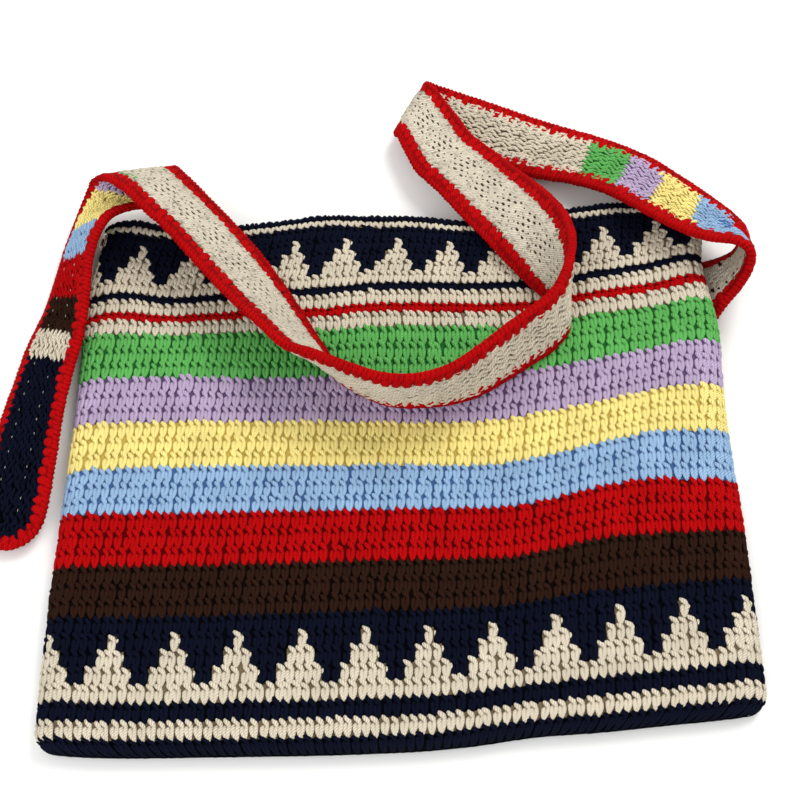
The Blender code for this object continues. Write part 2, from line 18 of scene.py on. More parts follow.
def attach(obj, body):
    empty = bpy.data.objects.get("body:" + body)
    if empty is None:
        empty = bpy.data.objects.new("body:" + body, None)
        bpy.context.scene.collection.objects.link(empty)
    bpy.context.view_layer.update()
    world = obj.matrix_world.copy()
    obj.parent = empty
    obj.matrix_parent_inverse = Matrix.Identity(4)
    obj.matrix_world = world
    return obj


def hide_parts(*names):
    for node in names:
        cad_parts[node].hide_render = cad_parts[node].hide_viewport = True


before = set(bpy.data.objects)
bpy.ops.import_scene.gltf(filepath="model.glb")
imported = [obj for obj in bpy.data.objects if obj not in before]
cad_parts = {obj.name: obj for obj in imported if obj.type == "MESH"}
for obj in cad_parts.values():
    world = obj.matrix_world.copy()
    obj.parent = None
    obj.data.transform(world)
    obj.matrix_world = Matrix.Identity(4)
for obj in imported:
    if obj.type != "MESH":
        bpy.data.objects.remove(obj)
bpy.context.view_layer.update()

bl_info = {
    "name": "Crochet Bag",
    "version": (1, 0, 0),
    "blender": (4, 5, 0),
    "location": "3D View > Sidebar > Crochet Bag",
    "description": "Builds the yarns, the lace and the stage of a crochet bag",
    "category": "Object",
}

MM = 0.001

# The bag's cloth, in millimetres, as in the CAD source.
BAG_BOTTOM = -159.2
EDGE_LEFT = 181.5
EDGE_RIGHT = 181.5
PUFF = 8.0
RIM_PUFF = 7.0
SIDE_ROUND = 12.0
CORNER_ROUND = 10.0
BOTTOM_ROUND = 8.0
BOTTOM_SLIT = 0.9
LEAST_MIDDLE = 3.5
WALL = 3.6
INNER_FLOOR = 9.0
RIDGE = 0.45
ARC_SHARE = 0.0217
TAIL_LIFT = 6.7
TAIL_REACH = 25.0
TAIL_FADE = 42.0
CORNER_LIFT = 5.6
CORNER_FROM = (138.0, 28.0)
CORNER_OVER = (36.0, 45.0)
SETTLE_FROM = 105.0
SETTLE_OVER = 40.0
SETTLE_SHARE = 0.35

# The mouth is thinner than the bag: where the cloth starts to thin, and over how far.
RIM_FROM = 95.0
RIM_OVER = 65.0

# How the side folds run: each moves in by an amount, from a height and over a height.
# The right one also has a waist, which has a depth, a height and a reach.
LEFT_MOVES_IN = ((3.0, -90.0, 130.0), (6.0, 105.0, 55.0))
RIGHT_MOVES_IN = (1.5, -60.0, 60.0)
RIGHT_WAIST = (4.6, 106.0, 26.0)

# The cloth stays this far above the ground and above the bottom's own edge, and it is
# underneath where its share of the half thickness is below this.
LEAST_HEIGHT = 0.02
LEAST_ALONG = 0.01
UNDERNEATH = -0.7

# How far the rows stand above or below their even places, as in the CAD source: the
# columns' x, then each height up the bag with its lifts. Scripts worked most of these
# numbers out from the places of the row borders in the photograph.
ROW_LIFT_AT = (-180, -155, -132, -85, -40, -15, 15, 40, 65, 85, 105, 130, 155, 180)
ROW_LIFTS = (
    (-154, (3.5, 1.0, 0.3, 0.0, -0.3, 0.0, 0.8, 3.0, 6.6, 7.6, 8.6, 11.0, 12.8, 15.5)),
    (-75, (1.6, 0.2, -0.2, 0.0, 0.4, 1.0, 0.5, 0.5, 1.7, 6.0, 8.6, 10.7, 12.5, 13.5)),
    (-31, (0.9, 0.4, 0.1, -0.4, -0.6, -0.7, -0.9, -1.6, -2.0, 0.2, 5.4, 9.4, 11.0, 12.1)),
    (-3, (-0.3, 0.1, 0.1, -0.6, -1.3, -1.7, -2.7, -3.5, -4.4, -1.5, 3.8, 9.3, 12.9, 14.6)),
    (24, (0.4, 0.4, 0.7, -0.6, -1.9, -2.9, -4.6, -4.6, -4.6, -2.8, 0.8, 6.2, 12.0, 14.8)),
    (52, (1.2, 0.8, 1.8, -1.1, -1.5, -2.0, -3.0, -4.0, -4.0, -3.0, 0.4, 5.0, 9.2, 10.2)),
    (82, (1.2, 1.8, -0.5, 0.4, -0.9, 2.2, 1.0, 0.0, -1.0, -1.0, 0.0, 4.0, 6.2, 8.0)),
    (108, (-1.5, 2.2, -4.2, -0.6, 0.6, 3.2, 2.5, 1.0, 1.0, 1.5, 3.0, 4.5, 8.0, 11.0)),
    (152, (5.0, 3.0, -3.0, -1.3, 4.4, 2.0, 1.0, -3.5, -2.5, 1.0, 4.0, 7.0, 6.0, 2.0)),
    (161, (0.0, 5.3, -3.0, -2.5, 3.5, 1.3, 0.8, -4.5, -3.5, 0.0, 3.0, 7.0, 2.0, -7.0)),
)
ROW_LIFT_SPREAD = 8.0

# The strap, in millimetres, as in the CAD source.
STRAP_WIDTH = 45.0
STRAP_END_ROUND = 20.5
EDGING_WIDTH = 6.4
EDGING_THICK = 5.0
BAND_THICK = 4.0
FIT_GAP = 0.55
TAPE_SHORT = 12.0

# The metal eyelet: its sizes, its middle, the way it faces, and the share by which
# its rolled ring is thicker on its outer side.
STUD_ACROSS = 11.5
STUD_HOLE = 4.5
STUD_THICK = 1.6
STUD_AT = (-173.4, 152.0, 10.1)
STUD_FACES = (-0.83, 0.0, 0.55)
STUD_ROLL = 0.25

# How many stitches go round the bag in its lower rows and in its rows above the
# stripes, and the share of the way round where the first triangle's tip lies.
LOWER_ROUND = 161
UPPER_ROUND = 168
LOWER_TIP = 0.0098
UPPER_TIP = 0.0
MOTIF_STITCHES = 7

# The bag's rows from the bottom up: yarn, height, kind of stitch, and how far each
# row's stitches stand to the right of those below, in stitches. The heights were
# worked out from the row borders in the photograph.
STRIPE_SHIFT = 0.28
MOTIF_SHIFT = 0.12
BAG_ROWS = (
    [("navy", 5.3, "petal", STRIPE_SHIFT)]
    + [("beige", 8.9, "petal", STRIPE_SHIFT)]
    + [("navy", 9.7, "petal", STRIPE_SHIFT)]
    + [("beige", 9.15, "petal", STRIPE_SHIFT)]
    + [("motif", 9.15, "petal", MOTIF_SHIFT)] * 3
    + [("navy", 9.15, "petal", MOTIF_SHIFT)]
    + [("brown", 9.45, "petal", STRIPE_SHIFT)] * 3
    + [("red", 10.15, "petal", STRIPE_SHIFT)] * 3
    + [("blue", 9.15, "petal", STRIPE_SHIFT)] * 3
    + [("yellow", 9.25, "petal", STRIPE_SHIFT)] * 3
    + [("lilac", 9.35, "petal", STRIPE_SHIFT)] * 3
    + [("green", 9.7, "petal", STRIPE_SHIFT)] * 3
    + [("beige", 9.25, "petal", STRIPE_SHIFT)]
    + [("red", 5.5, "petal", STRIPE_SHIFT)]
    + [("beige", 8.75, "petal", STRIPE_SHIFT)]
    + [("navy", 5.2, "petal", STRIPE_SHIFT)]
    + [("beige", 8.15, "petal", STRIPE_SHIFT)]
    + [("motif", 8.15, "petal", MOTIF_SHIFT)] * 3
    + [("navy", 9.0, "petal", MOTIF_SHIFT)]
    + [("beige", 4.4, "small", MOTIF_SHIFT)]
    + [("navy", 4.45, "rim", MOTIF_SHIFT)]
)
FIRST_UPPER_ROW = 26
MOTIF_ROWS = ((4, 5, 6), (31, 32, 33))

# The strap's colours, each with its length from the end inwards. The beige middle
# takes what is left. The lengths were measured in the photograph where they show.
# Four near the hidden end differ from the CAD source's, because the borders lean here.
HIDDEN_END_BLOCKS = (
    (126.0, "navy"),
    (19.0, "beige"),
    (27.0, "brown"),
    (23.5, "red"),
    (25.0, "blue"),
    (34.0, "yellow"),
    (26.1, "lilac"),
    (26.7, "green"),
)
LEFT_END_BLOCKS = (
    (115.5, "navy"),
    (16.5, "beige"),
    (22.0, "brown"),
    (26.5, "red"),
    (23.5, "blue"),
    (25.0, "yellow"),
    (18.0, "lilac"),
    (17.5, "green"),
)

# How the strap's rows lean along it, for each millimetre across: the distance from
# the hidden end and from the left end.
ROW_LEAN = ((150, 0.0), (195, -0.5), (255, -0.5), (284, -0.33), (310, -0.25), (380, 0.0))
END_ROW_LEAN = ((60, 0.0), (115, 0.25), (150, 0.25), (190, 0.0))

# The strap's way, as in the CAD source: x, y and z of its middle, then the heading
# and the slope in degrees of the way across it. A script worked many of these
# stations out from the strap's edges in the photograph.
ROUTE = (
    (108, -12, 2.9, 0, 0),
    (110, 16, 2.9, -9, 0),
    (117, 43, 2.9, -21, 0),
    (129, 66, 2.9, -34, 0),
    (144, 83, 2.9, -48, 0),
    (159, 94, 3.5, -57, 2),
    (170, 102, 6.2, -67, 9),
    (182, 108, 12.5, -78, 24),
    (191, 111, 18.5, -85, 34),
    (198, 115, 25.0, -91, 42),
    (200.5, 120.5, 31.8, -97, 46),
    (197, 125, 36.3, -112, 43),
    (186, 131, 36.8, -126, 31),
    (173, 144, 32.8, -138, 22),
    (159.5, 162, 25.7, -143, 17),
    (138, 188, 15.5, -136, 12),
    (116, 204, 9.0, -124, 9),
    (96, 214, 5.0, -117, 5),
    (76, 223, 3.9, -115, 2),
    (56, 233, 3.5, -114, 0),
    (37, 242, 3.5, -113, 0),
    (21, 248, 4.8, -115, -2),
    (12.5, 248, 9.6, -117, -4),
    (14, 243, 14.6, -121, 1),
    (19, 232, 15.2, -128, 4),
    (24, 222, 15.2, -134, 5),
    (31.5, 207, 15.6, -141, 4),
    (44, 192, 17.0, -146, 0),
    (58, 170.5, 22.0, -144, -8),
    (72, 148.5, 28.5, -142, -19),
    (84.5, 124, 35.0, -149, -42),
    (91.5, 104, 40.5, -152, -65),
    (95, 89, 44.5, -117, -84),
    (93, 75, 45.5, -35, -81),
    (85, 64, 45.5, -44, -81),
    (74, 56, 44.6, -52, -82),
    (59, 46, 42.6, -55, -84),
    (44, 36, 41.5, -60, -88),
    (29, 29, 41.5, 108, -85),
    (13, 26, 41.5, 94, -80),
    (-4, 27, 41.5, 69, -79),
    (-22, 35, 41.0, 42, -76),
    (-37.5, 46, 38.5, 27, -68),
    (-48, 56, 37.0, 30, -55),
    (-60, 73, 35.0, 31, -48),
    (-78, 99, 33.5, 35, -36),
    (-97, 125, 34.0, 42, -30),
    (-114.5, 146.5, 36.5, 49, -29),
    (-130, 163, 39.0, 49, -27),
    (-142, 177, 38.0, 42, -27),
    (-150.5, 185.5, 31.5, 20, -19),
    (-157, 182, 25.5, -8, -8),
    (-163.5, 175.5, 23.0, -26, 10),
    (-170, 170.5, 22.0, -29, 27),
    (-178, 161, 20.5, -27, 43),
    (-183, 146, 20.5, -24, 49),
    (-186.5, 126, 19.5, -22, 49),
    (-189, 102, 17.8, -17, 42),
    (-194, 80, 15.0, -12, 33),
    (-199, 56, 13.0, -12, 31),
    (-203, 33, 11.5, -10, 27),
    (-206, 8, 10.0, -9, 21),
    (-209, -15, 8.4, -9, 15),
    (-211.5, -31, 7.0, -10, 11),
    (-213.5, -44, 5.8, -10, 8),
)
HIDDEN_STATIONS = 7

# Each yarn's colour on its crests, and its painted shade colour for the gaps between its strands.
YARNS = {
    "navy": ("#0B0F20", "#020306"),
    "beige": ("#D6CBB6", "#716249"),
    "brown": ("#2C1911", "#0B0503"),
    "red": ("#B2080B", "#560305"),
    "blue": ("#95B5D6", "#3F6196"),
    "yellow": ("#F6E48E", "#C4A94E"),
    "lilac": ("#B9A6C4", "#5E466F"),
    "green": ("#62B15C", "#1C5E24"),
}
# The lace's colour, and the painted shade colour for its low parts and its hole floors.
LACE_HEX = "#D6CCB8"
LACE_PAINTED_SHADE_HEX = "#3E3527"
THREAD_HEX = "#B9B2A4"
STEEL_HEX = "#C9C2BA"
COPPER_HEX = "#8A5A3C"
FLOOR_HEX = "#F4F4F2"

# The strands of one stitch of the bag: x to the right, y up from the foot of the
# row, z out of the cloth, and the strand's radius.
PETAL_RIGHT = (
    (-1.45, 10.7, -0.60, 0.25),
    (-1.35, 10.1, 0.00, 0.80),
    (-0.95, 9.2, 0.10, 1.18),
    (0.00, 8.3, 0.22, 1.45),
    (1.00, 7.3, 0.12, 1.42),
    (1.35, 6.2, -0.28, 1.20),
    (1.22, 5.0, 0.00, 1.32),
    (1.10, 3.4, 0.12, 1.32),
    (0.80, 1.7, 0.15, 1.12),
    (0.40, 0.2, 0.18, 0.82),
    (0.10, -1.0, 0.00, 0.20),
)
PETAL_LEFT = (
    (-0.10, 6.9, -0.90, 0.75),
    (-0.72, 6.1, -0.32, 1.08),
    (-1.12, 4.8, 0.00, 1.32),
    (-1.02, 3.0, 0.08, 1.26),
    (-0.70, 1.4, 0.13, 1.06),
    (-0.30, 0.0, 0.18, 0.80),
    (-0.05, -1.0, 0.00, 0.20),
)
SMALL_RIGHT = (
    (1.60, 10.4, -0.45, 0.60),
    (1.35, 8.0, 0.10, 1.20),
    (0.95, 4.6, 0.20, 1.35),
    (0.35, 0.9, 0.15, 0.95),
    (0.05, -1.2, -0.10, 0.35),
)
SMALL_LEFT = (
    (-1.90, 10.4, -0.45, 0.55),
    (-1.55, 8.0, 0.10, 1.10),
    (-1.05, 4.6, 0.15, 1.25),
    (-0.40, 0.9, 0.10, 0.95),
    (-0.05, -1.2, -0.15, 0.35),
)
CARRIED = (
    (-1.90, 3.6, -0.40, 0.30),
    (-1.95, 4.8, 0.55, 0.62),
    (-2.05, 6.4, 0.50, 0.60),
    (-2.10, 7.4, -0.40, 0.25),
)

# The row height and the stitch width that those strands are drawn for. The spike's
# head sways with the row above: by these shares, from this shift and place.
STITCH_ROW = 9.25
STITCH_WIDE = 4.6
HEAD_SWAY = (1.0, 0.95, 0.62, 0.20)
HEAD_DRAWN_SHIFT = 0.48
HEAD_DRAWN_OUT = 1.0

# How much each copy of a stitch differs from the next: its turn in radians, its
# growth, its shifts along, up and out, and how far its twist slides.
LOOSE_TURN = 0.055
LOOSE_GROWTH = 0.045
LOOSE_SHIFTS = (0.12, 0.22, 0.13)
LONGEST_SLIDE = 40.0

# A strand is painted nearer its crest colour the further it stands out, and nearer its shade colour
# where it sinks, for each millimetre.
PAINTED_LIGHT_BY_HEIGHT = 0.62

# How near to the crest colour the cloth is painted under the stitches, where it stands in painted
# shade, and inside the bag.
SKIN_PAINTED_LIGHT = 0.1
INSIDE_PAINTED_LIGHT = 0.8

# Where each piece's random draws start.
SEEDS = {"bag": 11, "band": 23, "edging": 37, "lace": 41, "seams": 53}


def linear(code):
    """An sRGB hex code as linear red, green and blue."""
    parts = [int(code[place : place + 2], 16) / 255.0 for place in (1, 3, 5)]
    return tuple(p / 12.92 if p <= 0.04045 else ((p + 0.055) / 1.055) ** 2.4 for p in parts)


def smooth(value):
    """A soft step from 0 to 1 as the value goes from 0 to 1."""
    value = np.clip(value, 0.0, 1.0)
    return value * value * (3.0 - 2.0 * value)


# The bag's surface.


def tail_distance(x, y):
    """How far places are from the middle of the strap's hidden end."""
    nearest = np.full(np.shape(x), 1.0e9)
    for start, end in zip(ROUTE[: HIDDEN_STATIONS - 1], ROUTE[1:HIDDEN_STATIONS]):
        ax, ay, bx, by = start[0], start[1], end[0], end[1]
        along = ((x - ax) * (bx - ax) + (y - ay) * (by - ay)) / ((bx - ax) ** 2 + (by - ay) ** 2)
        along = np.clip(along, 0.0, 1.0)
        gap = np.hypot(x - ax - along * (bx - ax), y - ay - along * (by - ay))
        nearest = np.minimum(nearest, gap)
    return nearest


def lift(x, y):
    """How far the cloth lies above the ground, over the strap's hidden end."""
    over_tail = 1.0 - smooth((tail_distance(x, y) - TAIL_REACH) / TAIL_FADE)
    corner = smooth((x - CORNER_FROM[0]) / CORNER_OVER[0])
    corner = corner * smooth((y - CORNER_FROM[1]) / CORNER_OVER[1])
    settle = 1.0 - SETTLE_SHARE * smooth((y - SETTLE_FROM) / SETTLE_OVER)
    return TAIL_LIFT * over_tail + CORNER_LIFT * corner * settle


def left_edge(along):
    """The x of the bag's left side fold, at heights up the bag."""
    lower, upper = (depth * smooth((along - start) / over) for depth, start, over in LEFT_MOVES_IN)
    return lower + upper - EDGE_LEFT


def right_edge(along):
    """The x of the bag's right side fold, at heights up the bag."""
    depth, start, over = RIGHT_MOVES_IN
    most, middle, reach = RIGHT_WAIST
    waist = np.exp(-(((along - middle) / reach) ** 2))
    return EDGE_RIGHT - depth * smooth((along - start) / over) - most * waist


def rows_up(x, along):
    """Where a row lies up the bag: the rows wave, and step up on the right."""
    x, along = np.broadcast_arrays(x, along)
    table = np.array([lifts for _, lifts in ROW_LIFTS])
    row = np.interp(along, [height for height, _ in ROW_LIFTS], range(len(table)))
    low = np.minimum(row.astype(int), len(table) - 2)
    up = row - low
    lifted = 0.0
    for spread_by in (-ROW_LIFT_SPREAD, 0.0, ROW_LIFT_SPREAD):
        column = np.interp(x + spread_by, ROW_LIFT_AT, range(table.shape[1]))
        left = np.minimum(column.astype(int), table.shape[1] - 2)
        right = column - left
        below = table[low, left] * (1.0 - right) + table[low, left + 1] * right
        above = table[low + 1, left] * (1.0 - right) + table[low + 1, left + 1] * right
        lifted = lifted + (below * (1.0 - up) + above * up) / 3.0
    return along + lifted


def bag_points(share, along, relief):
    """Points of the bag's cloth, from shares of the way round and heights up it."""
    share = np.mod(share + ARC_SHARE, 1.0) - ARC_SHARE
    along = np.maximum(along, BAG_BOTTOM + LEAST_ALONG)
    bottom = along - BAG_BOTTOM
    puff = PUFF - (PUFF - RIM_PUFF) * smooth((along - RIM_FROM) / RIM_OVER)
    fall = np.clip(1.0 - bottom / BOTTOM_ROUND, 0.0, 1.0)
    puff = np.maximum(puff * np.sqrt(1.0 - fall * fall), np.maximum(BOTTOM_SLIT - relief, 0.0))
    fall = np.clip(CORNER_ROUND - bottom, 0.0, CORNER_ROUND)
    inset = CORNER_ROUND - np.sqrt(CORNER_ROUND**2 - fall * fall)
    start = left_edge(along) + inset
    end = right_edge(along) - inset
    flat = 0.5 - 2.0 * ARC_SHARE
    on_left = share < ARC_SHARE
    on_right = (share >= 0.5 - ARC_SHARE) & (share < 0.5 + ARC_SHARE)
    on_back = share >= 0.5 + ARC_SHARE
    angle = np.where(on_left, share, 0.5 - share) / ARC_SHARE * math.pi / 2.0
    side, height = np.cos(angle), np.sin(angle)
    front = (share - ARC_SHARE) / flat
    back = (1.0 - ARC_SHARE - share) / flat
    across = np.where(on_back, back, front)
    x = start + SIDE_ROUND + across * (end - start - 2.0 * SIDE_ROUND)
    x = np.where(on_left, start + SIDE_ROUND - side * (SIDE_ROUND + relief), x)
    x = np.where(on_right, end - SIDE_ROUND + side * (SIDE_ROUND + relief), x)
    height = np.where(on_left | on_right, height, np.where(on_back, -1.0, 1.0))
    pressed = np.minimum(relief, RIDGE)
    half = puff + np.where(height < UNDERNEATH, pressed, relief)
    y = rows_up(x, along)
    z = lift(x, y) + np.maximum(puff, LEAST_MIDDLE) + RIDGE + half * height
    return np.stack((x, y, np.maximum(z, LEAST_HEIGHT)), axis=-1)


# The strap's surface.


def curve_place(near, spans, share):
    """A place on the smooth curve through four points, between the middle two."""
    d1, d2, d3 = spans
    t = d1 + d2 * share
    a = near[0] * ((d1 - t) / d1) + near[1] * (t / d1)
    b = near[1] * ((d1 + d2 - t) / d2) + near[2] * ((t - d1) / d2)
    c = near[2] * ((d1 + d2 + d3 - t) / d3) + near[3] * ((t - d1 - d2) / d3)
    e = a * ((d1 + d2 - t) / (d1 + d2)) + b * (t / (d1 + d2))
    f = b * ((d1 + d2 + d3 - t) / (d2 + d3)) + c * ((t - d1) / (d2 + d3))
    return e * ((d1 + d2 - t) / d2) + f * ((t - d1) / d2)


def unit(vectors):
    """The vectors at a length of one."""
    return vectors / np.linalg.norm(vectors, axis=-1, keepdims=True)


def walked_along(points):
    """How far each point lies along the line through them all."""
    return np.concatenate(([0.0], np.cumsum(np.linalg.norm(np.diff(points, axis=0), axis=1))))


class Strap:
    """The strap's surface: places along it, across it and out of it give points."""

    def __init__(self, steps=8):
        table = np.array(ROUTE, dtype=float)
        heading, slope = np.radians(table[:, 3]), np.radians(table[:, 4])
        ways = np.stack((np.cos(heading) * np.cos(slope), np.sin(heading) * np.cos(slope)), axis=-1)
        ways = np.concatenate((ways, np.sin(slope)[:, None]), axis=1)
        places = table[:, :3]
        places = np.vstack((2.0 * places[0] - places[1], places, 2.0 * places[-1] - places[-2]))
        ways = np.vstack((ways[0], ways, ways[-1]))
        middles, across = [], []
        for index in range(1, len(places) - 2):
            near = places[index - 1 : index + 3]
            spans = np.sqrt(np.linalg.norm(np.diff(near, axis=0), axis=1))
            for step in range(steps):
                middles.append(curve_place(near, spans, step / steps))
                across.append(curve_place(ways[index - 1 : index + 3], spans, step / steps))
        self.middles = np.array(middles + [places[-2]])
        self.ways = unit(np.array(across + [ways[-2]]))
        self.lengths = walked_along(self.middles)
        self.total = float(self.lengths[-1])
        ahead = np.vstack((self.middles[1:], self.middles[-1:]))
        behind = np.vstack((self.middles[:1], self.middles[:-1]))
        self.tangents = unit(ahead - behind)

    def between(self, table, along):
        """The table's rows at places along the strap."""
        return np.stack([np.interp(along, self.lengths, table[:, k]) for k in range(3)], axis=-1)

    def frame(self, along):
        """The middle, the way along, the way across and the way out of the lace side."""
        along = np.asarray(along, dtype=float)
        tangent = unit(self.between(self.tangents, along))
        beyond = along - np.clip(along, 0.0, self.total)
        place = self.between(self.middles, along) + tangent * beyond[..., None]
        way = unit(self.between(self.ways, along))
        return place, tangent, way, unit(np.cross(way, tangent))

    def points(self, along, across, out):
        """Points from places along the strap, across it and out of its lace side."""
        place, _, way, normal = self.frame(along)
        return place + way * np.asarray(across)[..., None] + normal * np.asarray(out)[..., None]

    def half_width(self, along, inset):
        """Half of the outline's width at places along it, set in from the outer edge."""
        half = STRAP_WIDTH / 2.0 - inset
        turn = STRAP_END_ROUND - inset
        fall = turn - np.clip(np.minimum(along, self.total - along) - inset, 0.0, turn)
        return half - turn + np.sqrt(np.maximum(turn * turn - fall * fall, 0.0))

    def lean(self, along):
        """How far a row runs along the strap from its middle to each millimetre across."""
        from_start = np.interp(along, *zip(*ROW_LEAN))
        from_end = np.interp(self.total - along, *zip(*END_ROW_LEAN))
        return np.where(np.asarray(along) < self.total / 2.0, from_start, from_end)

    def yarn_at(self, along):
        """The strap's colour at a place along it."""
        place = 0.0
        for length, yarn in HIDDEN_END_BLOCKS:
            place += length
            if along <= place:
                return yarn
        place = self.total
        for length, yarn in LEFT_END_BLOCKS:
            place -= length
            if along > place:
                return yarn
        return "beige"


class Ring:
    """The line that the edging follows: down one side, round the end and back."""

    def __init__(self, strap, inset=EDGING_WIDTH / 2.0, step=1.5, turns=15, least_gap=0.2):
        half = STRAP_WIDTH / 2.0 - inset
        turn = STRAP_END_ROUND - inset
        low, high = STRAP_END_ROUND, strap.total - STRAP_END_ROUND
        straight = np.linspace(low, high, int((high - low) / step))
        angles = np.radians(np.linspace(0.0, 90.0, turns))
        wide, ahead = np.cos(angles), np.sin(angles)
        out = half - turn + turn * wide
        up, down = high + turn * ahead, low - turn * ahead
        parts = [
            (straight, np.full_like(straight, half), np.ones_like(straight), 0.0 * straight),
            (up, out, wide, ahead),
            (up[::-1], -out[::-1], -wide[::-1], ahead[::-1]),
            (straight[::-1], np.full_like(straight, -half), -np.ones_like(straight), 0.0 * straight),
            (down, -out, -wide, -ahead),
            (down[::-1], out[::-1], wide[::-1], -ahead[::-1]),
        ]
        rows = np.concatenate([np.stack(part, axis=-1) for part in parts])
        place, tangent, way, normal = strap.frame(rows[:, 0])
        centre = place + way * rows[:, 1:2]
        keep = np.linalg.norm(np.diff(centre, axis=0, append=centre[:1]), axis=1) > least_gap
        outward = unit(way * rows[:, 2:3] + tangent * rows[:, 3:4])
        self.centre, self.outward, self.normal, self.along, self.across = (
            np.concatenate((table[keep], table[keep][:1]))
            for table in (centre, outward, normal, rows[:, 0], rows[:, 1])
        )
        self.lengths = walked_along(self.centre)
        self.total = float(self.lengths[-1])

    def between(self, table, place):
        """The table's rows at places round the ring."""
        return np.stack([np.interp(place, self.lengths, table[:, k]) for k in range(3)], axis=-1)

    def points(self, place, outward, out):
        """Points from places round the ring, outwards from it and out of the lace side."""
        place = np.mod(place, self.total)
        centre = self.between(self.centre, place)
        return centre + self.between(self.outward, place) * np.asarray(outward)[..., None] + (
            self.between(self.normal, place) * np.asarray(out)[..., None]
        )


# Strands of yarn and the meshes they make.


class Gathered:
    """What goes into one mesh: points, faces, yarn coordinates and painted shading."""

    def __init__(self):
        self.points, self.faces, self.coords, self.painted_shading = [], [], [], []
        self.count = 0

    def add(self, points, faces, coords, painted_shading):
        """Adds some points with their yarn coordinates and painted shading, and their faces."""
        points = np.asarray(points, dtype=float).reshape(-1, 3)
        self.points.append(points)
        self.faces.append(np.asarray(faces, dtype=int) + self.count)
        self.coords.append(np.asarray(coords, dtype=float).reshape(-1, 2))
        self.painted_shading.append(np.asarray(painted_shading, dtype=float).reshape(-1))
        self.count += len(points)

    def make(self, name, material, body="root"):
        """One mesh object, smoothly shaded, in metres."""
        mesh = bpy.data.meshes.new(name)
        points = np.concatenate(self.points) * MM
        points[:, 2] = np.maximum(points[:, 2], 0.0)
        starts, corners, run = [], [], 0
        for faces in self.faces:
            size = faces.shape[1]
            starts.append(run + size * np.arange(len(faces)))
            corners.append(faces.reshape(-1))
            run += faces.size
        starts, corners = np.concatenate(starts), np.concatenate(corners)
        mesh.vertices.add(len(points))
        mesh.vertices.foreach_set("co", points.reshape(-1))
        mesh.loops.add(len(corners))
        mesh.loops.foreach_set("vertex_index", corners)
        mesh.polygons.add(len(starts))
        mesh.polygons.foreach_set("loop_start", starts)
        mesh.update(calc_edges=True)
        mesh.polygons.foreach_set("use_smooth", np.ones(len(starts), dtype=bool))
        layer = mesh.uv_layers.new(name="yarn")
        layer.uv.foreach_set("vector", np.concatenate(self.coords)[corners].reshape(-1))
        # The depth attribute carries the painted shading: at 0 the shade colour is painted, at 1 the
        # crest colour.
        depth = mesh.attributes.new("depth", "FLOAT", "POINT")
        depth.data.foreach_set("value", np.concatenate(self.painted_shading))
        mesh.materials.append(material)
        mesh.validate()
        made = bpy.data.objects.new(name, mesh)
        bpy.context.scene.collection.objects.link(made)
        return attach(made, body)


def curve_through(knots, count, gather=0.0, steps=8):
    """Points on a smooth curve through knots of any width, closer at its two ends."""
    knots = np.asarray(knots, dtype=float)
    chain = np.vstack((2.0 * knots[0] - knots[1], knots, 2.0 * knots[-1] - knots[-2]))
    fine = []
    for index in range(1, len(chain) - 2):
        p0, p1, p2, p3 = chain[index - 1 : index + 3]
        for t in np.linspace(0.0, 1.0, steps, endpoint=False):
            bend = 2.0 * p0 - 5.0 * p1 + 4.0 * p2 - p3
            twist = 3.0 * (p1 - p2) + p3 - p0
            fine.append(p1 + 0.5 * ((p2 - p0) * t + bend * t * t + twist * t**3))
    fine = np.array(fine + [knots[-1]])
    walked = walked_along(fine[:, :3])
    even = np.linspace(0.0, 1.0, count)
    stops = walked[-1] * (even - gather * np.sin(2.0 * math.pi * even) / (2.0 * math.pi))
    return np.stack([np.interp(stops, walked, fine[:, k]) for k in range(fine.shape[1])], axis=-1)


def strand(knots, rings, sides, flat=1.0, shade=0.22, gather=0.0, reach=35.0):
    """An open half tube along a curve: its points, faces, coordinates and painted shading.

    The flat share presses it towards the cloth, the shade lightens its painted shade, and the gather
    draws its rings to its ends. It reaches that many degrees past half way round.
    """
    path = curve_through(knots, rings, gather)
    middle, radius = path[:, :3], path[:, 3]
    tangent = unit(np.gradient(middle, axis=0))
    side = unit(np.cross(tangent, (0.0, 0.0, 1.0)))
    out = np.cross(side, tangent)
    angles = np.radians(np.linspace(-reach, 180.0 + reach, sides))
    offset = side[:, None, :] * np.cos(angles)[None, :, None]
    offset = offset + out[:, None, :] * np.sin(angles)[None, :, None] * flat
    points = middle[:, None, :] + offset * radius[:, None, None]
    walked = walked_along(middle)
    coords = np.stack(
        (
            np.broadcast_to(walked[:, None], points.shape[:2]),
            angles[None, :] * radius.mean() * np.ones((rings, 1)),
        ),
        axis=-1,
    )
    # Painted shade: the lower a point lies, the nearer its colour is painted to the shade colour.
    painted_shading = np.clip(points[:, :, 2] * PAINTED_LIGHT_BY_HEIGHT + shade, 0.0, 1.0)
    faces = tube_faces(rings, sides)
    return points.reshape(-1, 3), faces, coords.reshape(-1, 2), painted_shading.reshape(-1)


def tube_faces(rings, sides, closed=False):
    """Quads between neighbouring rings of points."""
    ring = np.arange(rings - 1)[:, None] * sides
    side = np.arange(sides if closed else sides - 1)[None, :]
    after = (side + 1) % sides
    return np.stack(
        (ring + side, ring + after, ring + sides + after, ring + sides + side), axis=-1
    ).reshape(-1, 4)


def join_strands(*strands):
    """Several strands as one set of points, faces, coordinates and painted shading."""
    points, faces, coords, painted_shading, count = [], [], [], [], 0
    for part in strands:
        points.append(part[0])
        faces.append(part[1] + count)
        coords.append(part[2])
        painted_shading.append(part[3])
        count += len(part[0])
    return tuple(np.concatenate(part) for part in (points, faces, coords, painted_shading))


